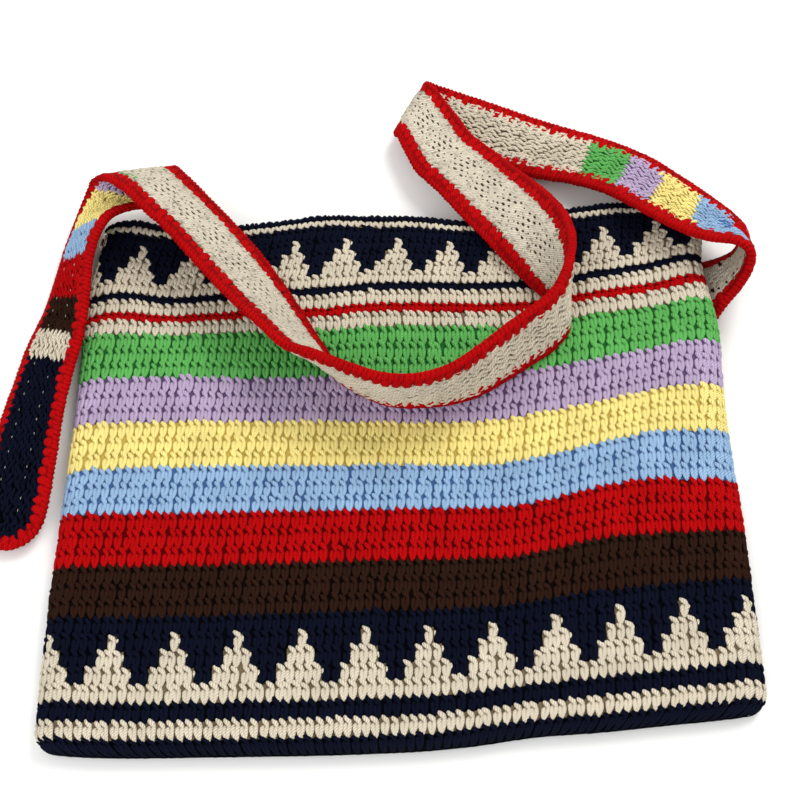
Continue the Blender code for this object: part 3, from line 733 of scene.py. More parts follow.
def spread(stitch, count, chance, loose=1.0):
    """Copies of a stitch, each a little different: points, faces and the rest."""
    points, faces, coords, painted_shading = stitch
    turn = chance.normal(0.0, LOOSE_TURN * loose, count)[:, None]
    grow = 1.0 + chance.normal(0.0, LOOSE_GROWTH * loose, count)[:, None]
    x = (points[:, 0] * np.cos(turn) - points[:, 1] * np.sin(turn)) * grow
    y = (points[:, 0] * np.sin(turn) + points[:, 1] * np.cos(turn)) * grow
    x = x + chance.normal(0.0, LOOSE_SHIFTS[0] * loose, count)[:, None]
    y = y + chance.normal(0.0, LOOSE_SHIFTS[1] * loose, count)[:, None]
    z = points[:, 2] + chance.normal(0.0, LOOSE_SHIFTS[2] * loose, count)[:, None]
    many = faces[None, :, :] + len(points) * np.arange(count)[:, None, None]
    shade = np.clip(painted_shading[None, :] + 0.0 * turn, 0.0, 1.0)
    slide = chance.uniform(0.0, LONGEST_SLIDE, count)[:, None]
    along = coords[None, :, 0] + slide
    around = np.broadcast_to(coords[None, :, 1], along.shape)
    return x, y, z, many.reshape(-1, faces.shape[1]), np.stack((along, around), axis=-1), shade


# The bag's pieces.


def row_places():
    """Every row of the bag: foot, height, yarn, kind, stitches round and phase."""
    places, foot = [], BAG_BOTTOM
    phases = row_phases()
    for index, (yarn, tall, kind, _) in enumerate(BAG_ROWS):
        count = UPPER_ROUND if index >= FIRST_UPPER_ROW else LOWER_ROUND
        places.append((foot, tall, yarn, kind, count, phases[index]))
        foot += tall
    return places


def row_phases():
    """How far each row's first stitch stands to the right, in stitches."""
    phases = [0.0] * len(BAG_ROWS)
    for first, last, count, tip, anchor in (
        (0, FIRST_UPPER_ROW, LOWER_ROUND, LOWER_TIP, MOTIF_ROWS[0][-1]),
        (FIRST_UPPER_ROW, len(BAG_ROWS), UPPER_ROUND, UPPER_TIP, MOTIF_ROWS[1][-1]),
    ):
        phases[anchor] = tip * count - math.floor(tip * count) + 0.5
        for index in range(anchor + 1, last):
            phases[index] = phases[index - 1] + BAG_ROWS[index][3]
        for index in range(anchor - 1, first - 1, -1):
            phases[index] = phases[index + 1] - BAG_ROWS[index + 1][3]
    return phases


def motif_columns(index):
    """Which stitches of a triangle row are beige: five, three or one in seven."""
    rows, count, tip = MOTIF_ROWS[0], LOWER_ROUND, LOWER_TIP
    if index in MOTIF_ROWS[1]:
        rows, count, tip = MOTIF_ROWS[1], UPPER_ROUND, UPPER_TIP
    middle = math.floor(tip * count) - 1
    reach = 2 - rows.index(index)
    columns = np.arange(count)
    away = np.mod(columns - middle + 3, MOTIF_STITCHES) - 3
    return np.abs(away) <= reach


def petal_stitch(shift, detail):
    """One stitch of the bag, whose spike stands in the gap of the row above."""
    right = np.array(PETAL_RIGHT)
    sway = (shift - HEAD_DRAWN_SHIFT) * STITCH_WIDE + HEAD_DRAWN_OUT
    right[: len(HEAD_SWAY), 0] += np.array(HEAD_SWAY) * sway
    if detail:
        return join_strands(
            strand(right, 10, 5, flat=0.85, gather=0.2),
            strand(PETAL_LEFT, 7, 5, flat=0.85, gather=0.45),
        )
    return join_strands(
        strand(right, 5, 4, flat=0.85, gather=0.3), strand(PETAL_LEFT, 4, 3, flat=0.85)
    )


def small_stitch(detail):
    """One stitch of the bag's two narrow rows at the mouth."""
    rings, sides = (6, 5) if detail else (4, 4)
    return join_strands(strand(SMALL_RIGHT, rings, sides), strand(SMALL_LEFT, rings, sides))


def lay_bag_row(gathered, place, columns, stitch, chance):
    """Lays the stitches of one row at some of its columns."""
    foot, tall, _, _, count, phase = place
    if not len(columns):
        return
    x, y, z, faces, coords, shade = spread(stitch, len(columns), chance)
    pitch = 2.0 * (EDGE_LEFT + EDGE_RIGHT - 2.0 * SIDE_ROUND) / (1.0 - 4.0 * ARC_SHARE) / count
    share = (columns[:, None] + 0.5 + phase + x / pitch) / count
    points = bag_points(share, foot + y * tall / STITCH_ROW, z)
    gathered.add(points, faces, coords, shade)


def lay_bag_skin(gathered, place, chosen, relief, depth):
    """The cloth under the stitches of one row, a little below their feet, painted at one share between
    the shade and crest colours.
    """
    foot, tall, _, _, count, phase = place
    columns = np.flatnonzero(chosen)
    corner = np.array(((0.0, 0.0), (0.0, 0.5), (0.0, 1.0), (1.0, 0.0), (1.0, 0.5), (1.0, 1.0)))
    share = (columns[:, None] + phase + corner[None, :, 1]) / count
    along = foot + tall * corner[None, :, 0] + 0.0 * share
    points = bag_points(share, along, relief + 0.0 * share)
    quads = np.array(((0, 1, 4, 3), (1, 2, 5, 4)))
    faces = quads[None] + len(corner) * np.arange(len(columns))[:, None, None]
    faces = faces.reshape(-1, 4)
    coords = np.stack((share * count * STITCH_WIDE, along), axis=-1)
    gathered.add(points, faces, coords, np.full(share.shape, depth))


def build_bag(settings):
    """The bag's yarns, one mesh for each colour, with the cloth behind them."""
    chance = np.random.default_rng(SEEDS["bag"])
    yarns = {name: Gathered() for name in YARNS}
    for index, place in enumerate(row_places()):
        _, _, yarn, kind, count, phase = place
        columns = np.arange(count)
        share = np.mod((columns + 0.5 + phase) / count, 1.0)
        seen = (share < 0.5 + ARC_SHARE) | (share > 1.0 - ARC_SHARE)
        shift = BAG_ROWS[min(index + 1, len(BAG_ROWS) - 1)][3]
        beige = motif_columns(index) if yarn == "motif" else None
        for name in ("beige", "navy") if yarn == "motif" else (yarn,):
            chosen = np.ones(count, dtype=bool)
            if yarn == "motif":
                chosen = beige if name == "beige" else ~beige
            for detail, part in ((True, chosen & seen), (False, chosen & ~seen)):
                stitch = petal_stitch(shift, detail) if kind == "petal" else small_stitch(detail)
                lay_bag_row(yarns[name], place, columns[part], stitch, chance)
            if yarn == "motif" and name == "beige":
                ends = np.flatnonzero(~chosen & np.roll(chosen, 1) & seen)
                lay_bag_row(yarns[name], place, ends, strand(CARRIED, 5, 5), chance)
            # The cloth under the stitches is painted nearly in the shade colour.
            lay_bag_skin(yarns[name], place, chosen, settings.skin_depth, SKIN_PAINTED_LIGHT)
            if place[0] > BAG_BOTTOM + INNER_FLOOR:
                lay_bag_skin(yarns[name], place, chosen, -WALL, INSIDE_PAINTED_LIGHT)
    for name, gathered in yarns.items():
        made = gathered.make("bag_" + name + "_yarn", yarn_material(name))
        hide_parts("bag_body")


# The strap's pieces.

# A strand of the strap's stitch: the share of its lean, y up from its foot, z out of
# the cloth, and its radius. The stitch is drawn for a row of this height.
STRAP_KNOTS = (
    (-1.05, -0.7, -0.70, 0.25),
    (-0.80, 0.3, 0.25, 0.85),
    (0.00, 2.2, 0.60, 1.05),
    (0.80, 4.1, 0.25, 0.85),
    (1.05, 5.1, -0.70, 0.25),
)
STRAP_STITCH_ROW = 4.4

# Its two strands stand this far to each side and are this much up or down. They lean
# by this, and every other row shifts to the side by twice the next.
STRAP_STRAND_OUT = 1.12
STRAP_STRAND_UP = 1.1
STRAP_STRAND_LEAN = 0.75
STRAP_ROW_SHIFT = 0.28
STRAP_LOOSE = 1.6

# How far the strap's stitches and the cloth under them reach beneath the edging, and
# how far the strands sink into the band.
STITCHES_UNDER = 0.6
SKIN_UNDER = 1.2
STRAND_SINK = 0.35

# The cloth under the strap's stitches, as shares of its half width and half
# thickness, how many steps it takes along the strap, and the half width that its yarn
# coordinates count with.
SKIN_SECTION = ((-1.0, 0.0), (-0.9, 0.62), (0.9, 0.62), (1.0, 0.0), (0.9, -0.62), (-0.9, -0.62))
SKIN_STEPS = 420
SKIN_HALF_WIDTH = 15.0


def strap_stitch(slant, detail=True):
    """One stitch of the strap: two strands that slant the same way."""
    lean = STRAP_STRAND_LEAN * slant
    rings, sides = (6, 5) if detail else (4, 3)
    strands = []
    for side in (-1.0, 1.0):
        middle = side * STRAP_STRAND_OUT + STRAP_ROW_SHIFT * (slant + 1.0)
        foot = STRAP_STRAND_UP * side
        knots = [(middle + share * lean, foot + up, out, wide) for share, up, out, wide in STRAP_KNOTS]
        strands.append(strand(knots, rings, sides, shade=0.12))
    return join_strands(*strands)


def lay_strap_rows(yarns, strap, settings, chance):
    """The crocheted rows of the strap, on its outer face and beside the lace."""
    row, pitch = settings.strap_row, settings.strap_stitch
    inset = EDGING_WIDTH - STITCHES_UNDER
    count = int((strap.total - 2.0 * inset) / row)
    row = (strap.total - 2.0 * inset) / count
    for index in range(count):
        foot = inset + row * index
        name = strap.yarn_at(foot + row / 2.0)
        half = float(strap.half_width(foot + row / 2.0, inset))
        columns = max(int(round(2.0 * half / pitch)), 2)
        width = 2.0 * half / columns
        slant = 1.0 if index % 2 else -1.0
        for face in (-1.0, 1.0):
            if face > 0.0 and TAPE_SHORT < foot < strap.total - TAPE_SHORT - row:
                continue
            chosen = np.arange(columns)
            stitch = strap_stitch(slant, detail=face < 0.0)
            x, y, z, faces, coords, shade = spread(stitch, len(chosen), chance, loose=STRAP_LOOSE)
            across = (chosen[:, None] + 0.5) * width - half + x * width / pitch
            out = face * (BAND_THICK / 2.0 - STRAND_SINK + z)
            along = foot + y * row / STRAP_STITCH_ROW
            points = strap.points(along + strap.lean(along) * across, across, out)
            yarns[name].add(points, faces, coords, shade)


def lay_strap_skin(yarns, strap):
    """The cloth under the strap's stitches: a flat tube inside the edging, painted fully in the shade
    colour.
    """
    inset = EDGING_WIDTH - SKIN_UNDER
    stops = np.linspace(inset, strap.total - inset, SKIN_STEPS)
    sides = len(SKIN_SECTION)
    across = np.array([entry[0] for entry in SKIN_SECTION])
    out = np.array([entry[1] for entry in SKIN_SECTION]) * BAND_THICK / 2.0
    for low, high in zip(stops, stops[1:]):
        ends = np.array((low, high))
        wide = (strap.half_width(ends, inset)[:, None] * across[None, :]).reshape(-1)
        along = np.repeat(ends, sides)
        points = strap.points(along + strap.lean(along) * wide, wide, np.tile(out, 2))
        coords = np.stack((along, np.tile(across * SKIN_HALF_WIDTH, 2)), axis=-1)
        name = strap.yarn_at((low + high) / 2.0)
        # Painted shade: this cloth is painted in the shade colour.
        yarns[name].add(points, tube_faces(2, sides, closed=True), coords, np.zeros(2 * sides))


# The spikes of the band's yarn on the outer face and on the lace side: x along the
# edging, y outwards, z out of the face, and the radius. They sink into the edging.
LONG_TOOTH = (
    (0.0, -7.6, -0.3, 1.9),
    (0.0, -5.8, 0.7, 1.5),
    (0.1, -4.2, 1.1, 0.8),
    (0.2, -2.6, 1.1, 0.1),
)
SHORT_TOOTH = (
    (0.0, -8.4, -0.6, 1.7),
    (0.2, -6.9, 0.5, 1.1),
    (0.5, -5.8, 0.9, 0.6),
    (0.8, -4.9, 0.9, 0.1),
)
SHORT_TOOTH_LOOSE = 2.5
TOOTH_SINK = 0.55


def lay_teeth(yarns, strap, ring, settings, chance):
    """The spikes of the band's own yarn between the heads of the edging's stitches."""
    count = int(round(ring.total / settings.edging_pitch))
    pitch = ring.total / count
    for index in range(count):
        place = pitch * index
        along = float(np.interp(place, ring.lengths, ring.along))
        side = float(np.interp(place, ring.lengths, ring.across))
        name = strap.yarn_at(along - float(strap.lean(along)) * side)
        for face in (-1.0, 1.0):
            knots, loose = LONG_TOOTH, 1.0
            if face > 0.0:
                knots, loose = SHORT_TOOTH, SHORT_TOOTH_LOOSE
            tooth = strand(knots, 5, 5, flat=0.5, shade=0.45)
            x, y, z, faces, coords, shade = spread(tooth, 1, chance, loose=loose)
            y = y * head_reach(strap, ring, np.array((place,)), face)
            out = face * (EDGING_THICK / 2.0 - TOOTH_SINK + z)
            yarns[name].add(ring.points(place + x, y, out), faces, coords, shade)


def build_strap_band(settings):
    """The crocheted middle of the strap, one mesh for each colour."""
    chance = np.random.default_rng(SEEDS["band"])
    strap = Strap()
    ring = Ring(strap)
    yarns = {name: Gathered() for name in YARNS}
    lay_strap_rows(yarns, strap, settings, chance)
    lay_strap_skin(yarns, strap)
    lay_teeth(yarns, strap, ring, settings, chance)
    for name, gathered in yarns.items():
        made = gathered.make("strap_" + name + "_yarn", yarn_material(name))
        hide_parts("strap_band")


# The strands of one stitch of the edging: x along it, y outwards, z out of the face.
EDGING_INNER = (
    (0.7, 1.6, -0.30, 1.70),
    (0.6, 0.4, 0.10, 2.55),
    (0.25, -1.6, 0.35, 2.90),
    (-0.15, -3.8, 0.40, 2.75),
    (-0.30, -5.3, 0.15, 2.05),
    (-0.30, -6.2, -0.70, 0.45),
)
EDGING_RIM = (
    (-1.6, -0.6, 1.15),
    (-0.8, 0.9, 1.30),
    (0.0, 1.95, 0.80),
    (0.3, 2.30, 0.0),
    (0.0, 1.95, -0.80),
    (-0.8, 0.9, -1.30),
    (-1.6, -0.6, -1.15),
)
EDGING_RIM_RADIUS = 1.75

# The strand over the rim: the share of its radius at its ends and what its middle adds, how far it
# wraps round its path in degrees, its length, how far outwards the point is that its path turns about,
# and what its turn and every place of it give towards the crest colour in its painted shading.
RIM_TAPER = (0.72, 0.28)
RIM_WRAP = (-30.0, 210.0)
RIM_LENGTH = 7.0
RIM_CENTRE = -0.6
RIM_PAINTED_LIGHT = (0.8, 0.45)

# How flat and how loose the heads are on the outer face and on the lace side, and
# how far they sink into the edging.
OUTER_HEADS = (0.48, 1.5)
LACE_SIDE_HEADS = (0.34, 0.9)
HEAD_SINK = 1.05

# The edging under its stitches: outwards and out of the face, for one half of it.
# It goes round in this many steps and is painted this near to its crest colour, partly in painted
# shade.
CORE_SECTION = ((-3.4, 1.4), (-1.5, 2.6), (1.4, 2.5), (3.6, 0.0))
CORE_FOOT = (-3.4, 0.0)
CORE_STEPS = 620
CORE_PAINTED_LIGHT = 0.35

# The heads reach further over the lace, and less far where the strap's left leg
# curls: distances from its left end, and the reach there.
LACE_SIDE_REACH = 1.3
BAND_SIDE_REACH = ((280.0, 360.0), (0.78, 1.2))


def head_reach(strap, ring, places, face):
    """How far in the edging's heads reach on one face, as a share of EDGING_INNER."""
    if face > 0.0:
        return np.full(np.shape(places), LACE_SIDE_REACH)
    from_end = strap.total - np.interp(places, ring.lengths, ring.along)
    return np.interp(from_end, *BAND_SIDE_REACH)


def rim_strand(rings=9, sides=5):
    """A strand that wraps over the outer rim from one face to the other."""
    path = curve_through(EDGING_RIM, rings)
    tangent = unit(np.gradient(path, axis=0))
    away = unit(path * np.array((0.0, 1.0, 1.0)) - np.array((0.0, RIM_CENTRE, 0.0)))
    side = unit(np.cross(tangent, away))
    out = np.cross(side, tangent)
    angles = np.radians(np.linspace(*RIM_WRAP, sides))
    thin, swell = RIM_TAPER
    taper = EDGING_RIM_RADIUS * (thin + swell * np.sin(np.linspace(0.0, math.pi, rings)))
    offset = side[:, None, :] * np.cos(angles)[None, :, None]
    offset = offset + out[:, None, :] * np.sin(angles)[None, :, None]
    points = path[:, None, :] + offset * taper[:, None, None]
    walked = np.linspace(0.0, RIM_LENGTH, rings)[:, None] + 0.0 * angles[None, :]
    around = angles[None, :] * EDGING_RIM_RADIUS + 0.0 * walked
    # Painted shade: each turn round the strand is painted lighter the more it faces outwards from its
    # path.
    by_turn, least = RIM_PAINTED_LIGHT
    painted_shading = np.clip(np.sin(angles)[None, :] * by_turn + least + 0.0 * walked, 0.0, 1.0)
    coords = np.stack((walked, around), axis=-1).reshape(-1, 2)
    return points.reshape(-1, 3), tube_faces(rings, sides), coords, painted_shading.reshape(-1)


def lay_edging_core(gathered, ring):
    """The plain tube under the edging's stitches, partly in painted shade."""
    half = np.array(CORE_SECTION)
    section = np.vstack((half, half[2::-1] * np.array((1.0, -1.0)), (CORE_FOOT,)))
    sides = len(section)
    stops = np.linspace(0.0, ring.total, CORE_STEPS)
    place = np.repeat(stops, sides)
    outward = np.tile(section[:, 0], len(stops))
    points = ring.points(place, outward, np.tile(section[:, 1], len(stops)))
    faces = tube_faces(len(stops), sides, closed=True)
    coords = np.stack((place, outward), axis=-1)
    gathered.add(points, faces, coords, np.full(len(points), CORE_PAINTED_LIGHT))


def build_edging(settings):
    """The red edging: rounded heads on both faces and strands over the rim."""
    chance = np.random.default_rng(SEEDS["edging"])
    strap = Strap()
    ring = Ring(strap)
    gathered = Gathered()
    count = int(round(ring.total / settings.edging_pitch))
    pitch = ring.total / count
    places = pitch * (np.arange(count) + 0.5)
    for face in (-1.0, 1.0):
        flat, loose = OUTER_HEADS if face < 0.0 else LACE_SIDE_HEADS
        stitch = strand(EDGING_INNER, 7, 7, flat=flat, shade=0.58, gather=0.5)
        x, y, z, faces, coords, shade = spread(stitch, count, chance, loose=loose)
        out = face * (EDGING_THICK / 2.0 - HEAD_SINK + z)
        reach = head_reach(strap, ring, places, face)[:, None]
        gathered.add(ring.points(places[:, None] + x, y * reach, out), faces, coords, shade)
    for offset in (0.0, 0.5):
        x, y, z, faces, coords, shade = spread(rim_strand(), count, chance, loose=0.5)
        shifted = places[:, None] + pitch * offset
        gathered.add(ring.points(shifted + x, y, z), faces, coords, shade)
    lay_edging_core(gathered, ring)
    made = gathered.make("strap_red_edging", yarn_material("red"))
    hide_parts("strap_edging")


# The lace repeats along the tape: slits and round holes as place along, place
# across, half length and half width.
LACE_REPEAT = 22.0
LACE_HOLES = (
    (1.5, 2.4, 1.15, 0.58),
    (4.5, 5.2, 1.70, 0.68),
    (5.0, 0.7, 1.75, 0.70),
    (8.6, 3.2, 1.30, 0.62),
    (11.6, 6.0, 1.45, 0.62),
    (1.6, -2.0, 1.00, 0.52),
    (2.8, -6.3, 1.10, 0.60),
    (5.7, -3.2, 1.70, 0.68),
    (7.4, -7.0, 1.40, 0.60),
    (10.4, -4.8, 1.60, 0.64),
    (9.2, -0.7, 1.10, 0.56),
    (14.2, -6.9, 1.30, 0.56),
    (12.8, 1.8, 0.70, 0.42),
    (16.0, -1.0, 0.78, 0.72),
    (19.9, -0.4, 0.62, 0.58),
    (18.9, -6.0, 0.60, 0.50),
    (17.4, 5.6, 0.62, 0.52),
    (20.4, 3.4, 0.50, 0.40),
    (20.6, -3.6, 0.50, 0.38),
    (14.6, 4.4, 0.50, 0.36),
    (1.2, 7.0, 0.60, 0.50),
)

# How high the lace stands across it, from its middle to its edge, and how far its
# edge reaches over the foot of the edging.
LACE_ACROSS = ((8.4, 0.25), (9.2, 0.75), (10.0, 0.20), (11.6, 0.30), (12.8, 0.10), (14.4, -0.40))

# The lace's plain height, the raised thread round each hole with its width, and how
# deep the holes go under the lace.
LACE_HEIGHT = 0.22
HOLE_THREAD_HEIGHT = 0.62
HOLE_THREAD = 0.42
HOLE_DEEP = 0.35
HOLE_CORNERS = 8

# How near a point's reach from a hole is to the raised thread's to lie on it, and the
# share of a hole's reach, squared, within which a triangle belongs to the hole.
ON_THREAD = 0.12
IN_HOLE = 0.8

# How rough its edge is and how uneven its face, and how its height sets its painted shade: the plain
# share, and what each millimetre of height and of unevenness adds.
LACE_ROUGH = 0.9
LACE_UNEVEN = 0.12
LACE_PAINTED_LIGHT = (0.38, 0.7, 1.4)

# Where the inner points of a repeat stand: rows across, and columns along for the two
# edges and the middle. A point keeps this far clear of a hole.
LACE_INNER_ROWS = (-5.6, -2.8, 0.0, 2.8, 5.6)
LACE_EDGE_COLUMNS = 17
LACE_INNER_COLUMNS = 9
LACE_CLEAR = 0.8

# Two places closer than this are the same one.
NEARLY = 0.01


def lace_plate():
    """One repeat of the lace, flat: its points, triangles and hole rims."""
    corners = HOLE_CORNERS
    points, edges, holes = [], [], []
    for along, across, long, wide in LACE_HOLES:
        first = len(points)
        for index in range(corners):
            angle = 2.0 * math.pi * (index + 0.5) / corners
            points.append((along + long * math.cos(angle), across + wide * math.sin(angle)))
            edges.append((first + index, first + (index + 1) % corners))
        holes.append(range(first, first + corners))
        for index in range(corners):
            angle = 2.0 * math.pi * (index + 0.5) / corners
            reach_x = (long + HOLE_THREAD) * math.cos(angle)
            reach_y = (wide + HOLE_THREAD) * math.sin(angle)
            points.append((along + reach_x, across + reach_y))
    for x in np.linspace(0.0, LACE_REPEAT, LACE_EDGE_COLUMNS):
        for y, _ in LACE_ACROSS:
            points += [(float(x), -y), (float(x), y)]
    for x in np.linspace(0.0, LACE_REPEAT, LACE_INNER_COLUMNS):
        for y in LACE_INNER_ROWS:
            clear = all(
                ((x - a) / (l + LACE_CLEAR)) ** 2 + ((y - c) / (w + LACE_CLEAR)) ** 2 > 1.0
                for a, c, l, w in LACE_HOLES
            )
            if clear or x in (0.0, LACE_REPEAT):
                points.append((float(x), y))
    made = delaunay_2d_cdt([Vector(point) for point in points], edges, [], 0, 1.0e-5)
    flat = np.array([tuple(point) for point in made[0]])
    places = {origin: index for index, origins in enumerate(made[3]) for origin in origins}
    triangles = []
    for face in made[2]:
        x, y = flat[list(face)].mean(axis=0)
        if all(((x - a) / l) ** 2 + ((y - c) / w) ** 2 > IN_HOLE for a, c, l, w in LACE_HOLES):
            triangles.append(tuple(face))
    rims = [[places[index] for index in hole] for hole in holes]
    return flat, np.array(triangles), rims


def lace_heights(flat):
    """How high the lace stands: raised round its holes and along its two cords."""
    height = np.full(len(flat), LACE_HEIGHT)
    for along, across, long, wide in LACE_HOLES:
        ahead = (flat[:, 0] - along) / (long + HOLE_THREAD)
        aside = (flat[:, 1] - across) / (wide + HOLE_THREAD)
        on_thread = np.abs(np.hypot(ahead, aside) - 1.0) < ON_THREAD
        height = np.where(on_thread, HOLE_THREAD_HEIGHT, height)
    for across, tall in LACE_ACROSS:
        height = np.where(np.abs(np.abs(flat[:, 1]) - across) < NEARLY, tall, height)
    return height


def hole_faces(rims, low):
    """Each hole's walls and floor, with the floors' points numbered from a first one."""
    walls, floors = [], []
    for hole, rim in enumerate(rims):
        corners = len(rim)
        first = low + hole * corners
        floors.append(range(first, first + corners))
        for corner in range(corners):
            after = (corner + 1) % corners
            walls.append((rim[corner], rim[after], first + after, first + corner))
    return np.array(walls), np.array(floors)


def build_lace():
    """The lace tape with its holes, sewn along the back of the strap."""
    chance = np.random.default_rng(SEEDS["lace"])
    strap = Strap()
    flat, triangles, rims = lace_plate()
    height = lace_heights(flat)
    start, end = EDGING_WIDTH + TAPE_SHORT, strap.total - EDGING_WIDTH - TAPE_SHORT
    count = int(round((end - start) / LACE_REPEAT))
    scale = (end - start) / (count * LACE_REPEAT)
    base = BAND_THICK / 2.0 + FIT_GAP
    gathered = Gathered()
    inner = np.concatenate([flat[rim] for rim in rims])
    walls, floors = hole_faces(rims, len(flat))
    edge = np.abs(flat[:, 1]) > LACE_ACROSS[-1][0] - NEARLY
    between = (flat[:, 0] > NEARLY) & (flat[:, 0] < LACE_REPEAT - NEARLY)
    plain, by_height, by_uneven = LACE_PAINTED_LIGHT
    for index in range(count):
        rough = np.where(edge & between, chance.uniform(-LACE_ROUGH, LACE_ROUGH, len(flat)), 0.0)
        uneven = np.where(between, chance.normal(0.0, LACE_UNEVEN, len(flat)), 0.0)
        wide = flat[:, 1] + np.sign(flat[:, 1]) * rough
        along = start + (index * LACE_REPEAT + np.concatenate((flat[:, 0], inner[:, 0]))) * scale
        across = np.concatenate((wide, inner[:, 1]))
        out = np.concatenate((base + height + uneven, np.full(len(inner), base - HOLE_DEEP)))
        # Painted shade: the lower the lace stands, the nearer its colour is painted to the shade
        # colour.
        painted_shading = plain + by_height * np.maximum(height, 0.0) + by_uneven * uneven
        # The hole floors are painted fully in the shade colour.
        painted_shading = np.concatenate((painted_shading, np.zeros(len(inner))))
        points = strap.points(along, across, out)
        coords = np.stack((along, across), axis=-1)
        gathered.add(points, triangles, coords, painted_shading)
        first = gathered.count - len(points)
        gathered.faces.append(walls + first)
        gathered.faces.append(floors + first)
    made = gathered.make("strap_lace_tape", lace_material())
    join_repeats(made.data)
    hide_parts("strap_tape")


def join_repeats(mesh):
    """Joins the points where one repeat of the lace meets the next."""
    work = bmesh.new()
    work.from_mesh(mesh)
    bmesh.ops.remove_doubles(work, verts=work.verts[:], dist=NEARLY * MM)
    work.to_mesh(mesh)
    work.free()


# One sewing stitch, which lies along the strap: x, y, z and the radius. Its row runs
# this far from the strap's middle, or this far inside the edging where the end is
# narrower. The stitches are uneven along it and stand this far out of the band.
SEAM_KNOTS = (
    (-0.7, 0.0, 0.0, 0.10),
    (-0.3, 0.0, 0.20, 0.16),
    (0.3, 0.0, 0.20, 0.16),
    (0.7, 0.0, 0.0, 0.10),
)
SEAM_FROM_MIDDLE = 7.6
SEAM_INSIDE = 8.0
SEAM_UNEVEN = 1.2
SEAM_OUT = 1.15


def build_seams(settings):
    """The short white stitches on the strap's face that hold the tape on its back."""
    chance = np.random.default_rng(SEEDS["seams"])
    strap = Strap()
    gathered = Gathered()
    stitch = strand(SEAM_KNOTS, 5, 5)
    places = np.arange(EDGING_WIDTH + TAPE_SHORT, strap.total - TAPE_SHORT, settings.seam_step)
    for side in (-1.0, 1.0):
        x, y, z, faces, coords, shade = spread(stitch, len(places), chance)
        inside = strap.half_width(places, EDGING_WIDTH + SEAM_INSIDE)
        half = np.minimum(SEAM_FROM_MIDDLE, inside)[:, None]
        along = places[:, None] + chance.normal(0.0, SEAM_UNEVEN, len(places))[:, None] + x
        out = -(BAND_THICK / 2.0 + SEAM_OUT + z)
        gathered.add(strap.points(along, side * half + y, out), faces, coords, shade)
    made = gathered.make("strap_seam_thread", thread_material())


def build_stud():
    """The metal eyelet: a rolled ring round its hole."""
    face = unit(np.array(STUD_FACES))
    across = np.array((0.0, 1.0, 0.0))
    upward = np.cross(face, across)
    rings, sides = 48, 12
    angle = np.linspace(0.0, 2.0 * math.pi, rings)[:, None]
    turn = np.linspace(0.0, 2.0 * math.pi, sides, endpoint=False)[None, :]
    middle = (STUD_ACROSS + STUD_HOLE) / 4.0
    reach = (STUD_ACROSS - STUD_HOLE) / 4.0
    spoke = middle + reach * np.cos(turn)
    out = STUD_THICK / 2.0 * np.sin(turn) * (1.0 + STUD_ROLL * np.cos(turn)) + 0.0 * angle
    points = np.array(STUD_AT) + (
        (across * np.cos(angle)[..., None] + upward * np.sin(angle)[..., None]) * spoke[..., None]
    )
    points = points + face * out[..., None]
    coords = np.stack((angle * middle + 0.0 * turn, turn * reach + 0.0 * angle), axis=-1)
    gathered = Gathered()
    faces = tube_faces(rings, sides, closed=True)
    gathered.add(points, faces, coords, np.ones(rings * sides))
    made = gathered.make("corner_eyelet", metal_material())
    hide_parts("corner_stud")


# The materials.


def add_node(tree, kind, values=None, **settings):
    """A node with its settings and its inputs, where another node's socket is linked."""
    node = tree.nodes.new(kind)
    for name, value in settings.items():
        setattr(node, name, value)
    for name, value in (values or {}).items():
        if isinstance(value, bpy.types.NodeSocket):
            tree.links.new(value, node.inputs[name])
        else:
            node.inputs[name].default_value = value
    return node


# How long a wave of the wave texture is at a scale of one.
WAVE_LENGTH = 0.628

# How many patches of uneven dye, loose fibres and copper-coloured spots on the metal a metre holds:
# they are about 17, 0.4 and 2 mm wide. Real fibres are far too fine to show, so they are drawn this
# coarse.
DYE_PATCHES = 60.0
LOOSE_FIBRES = 2600.0
COPPER_SPOTS = 500.0


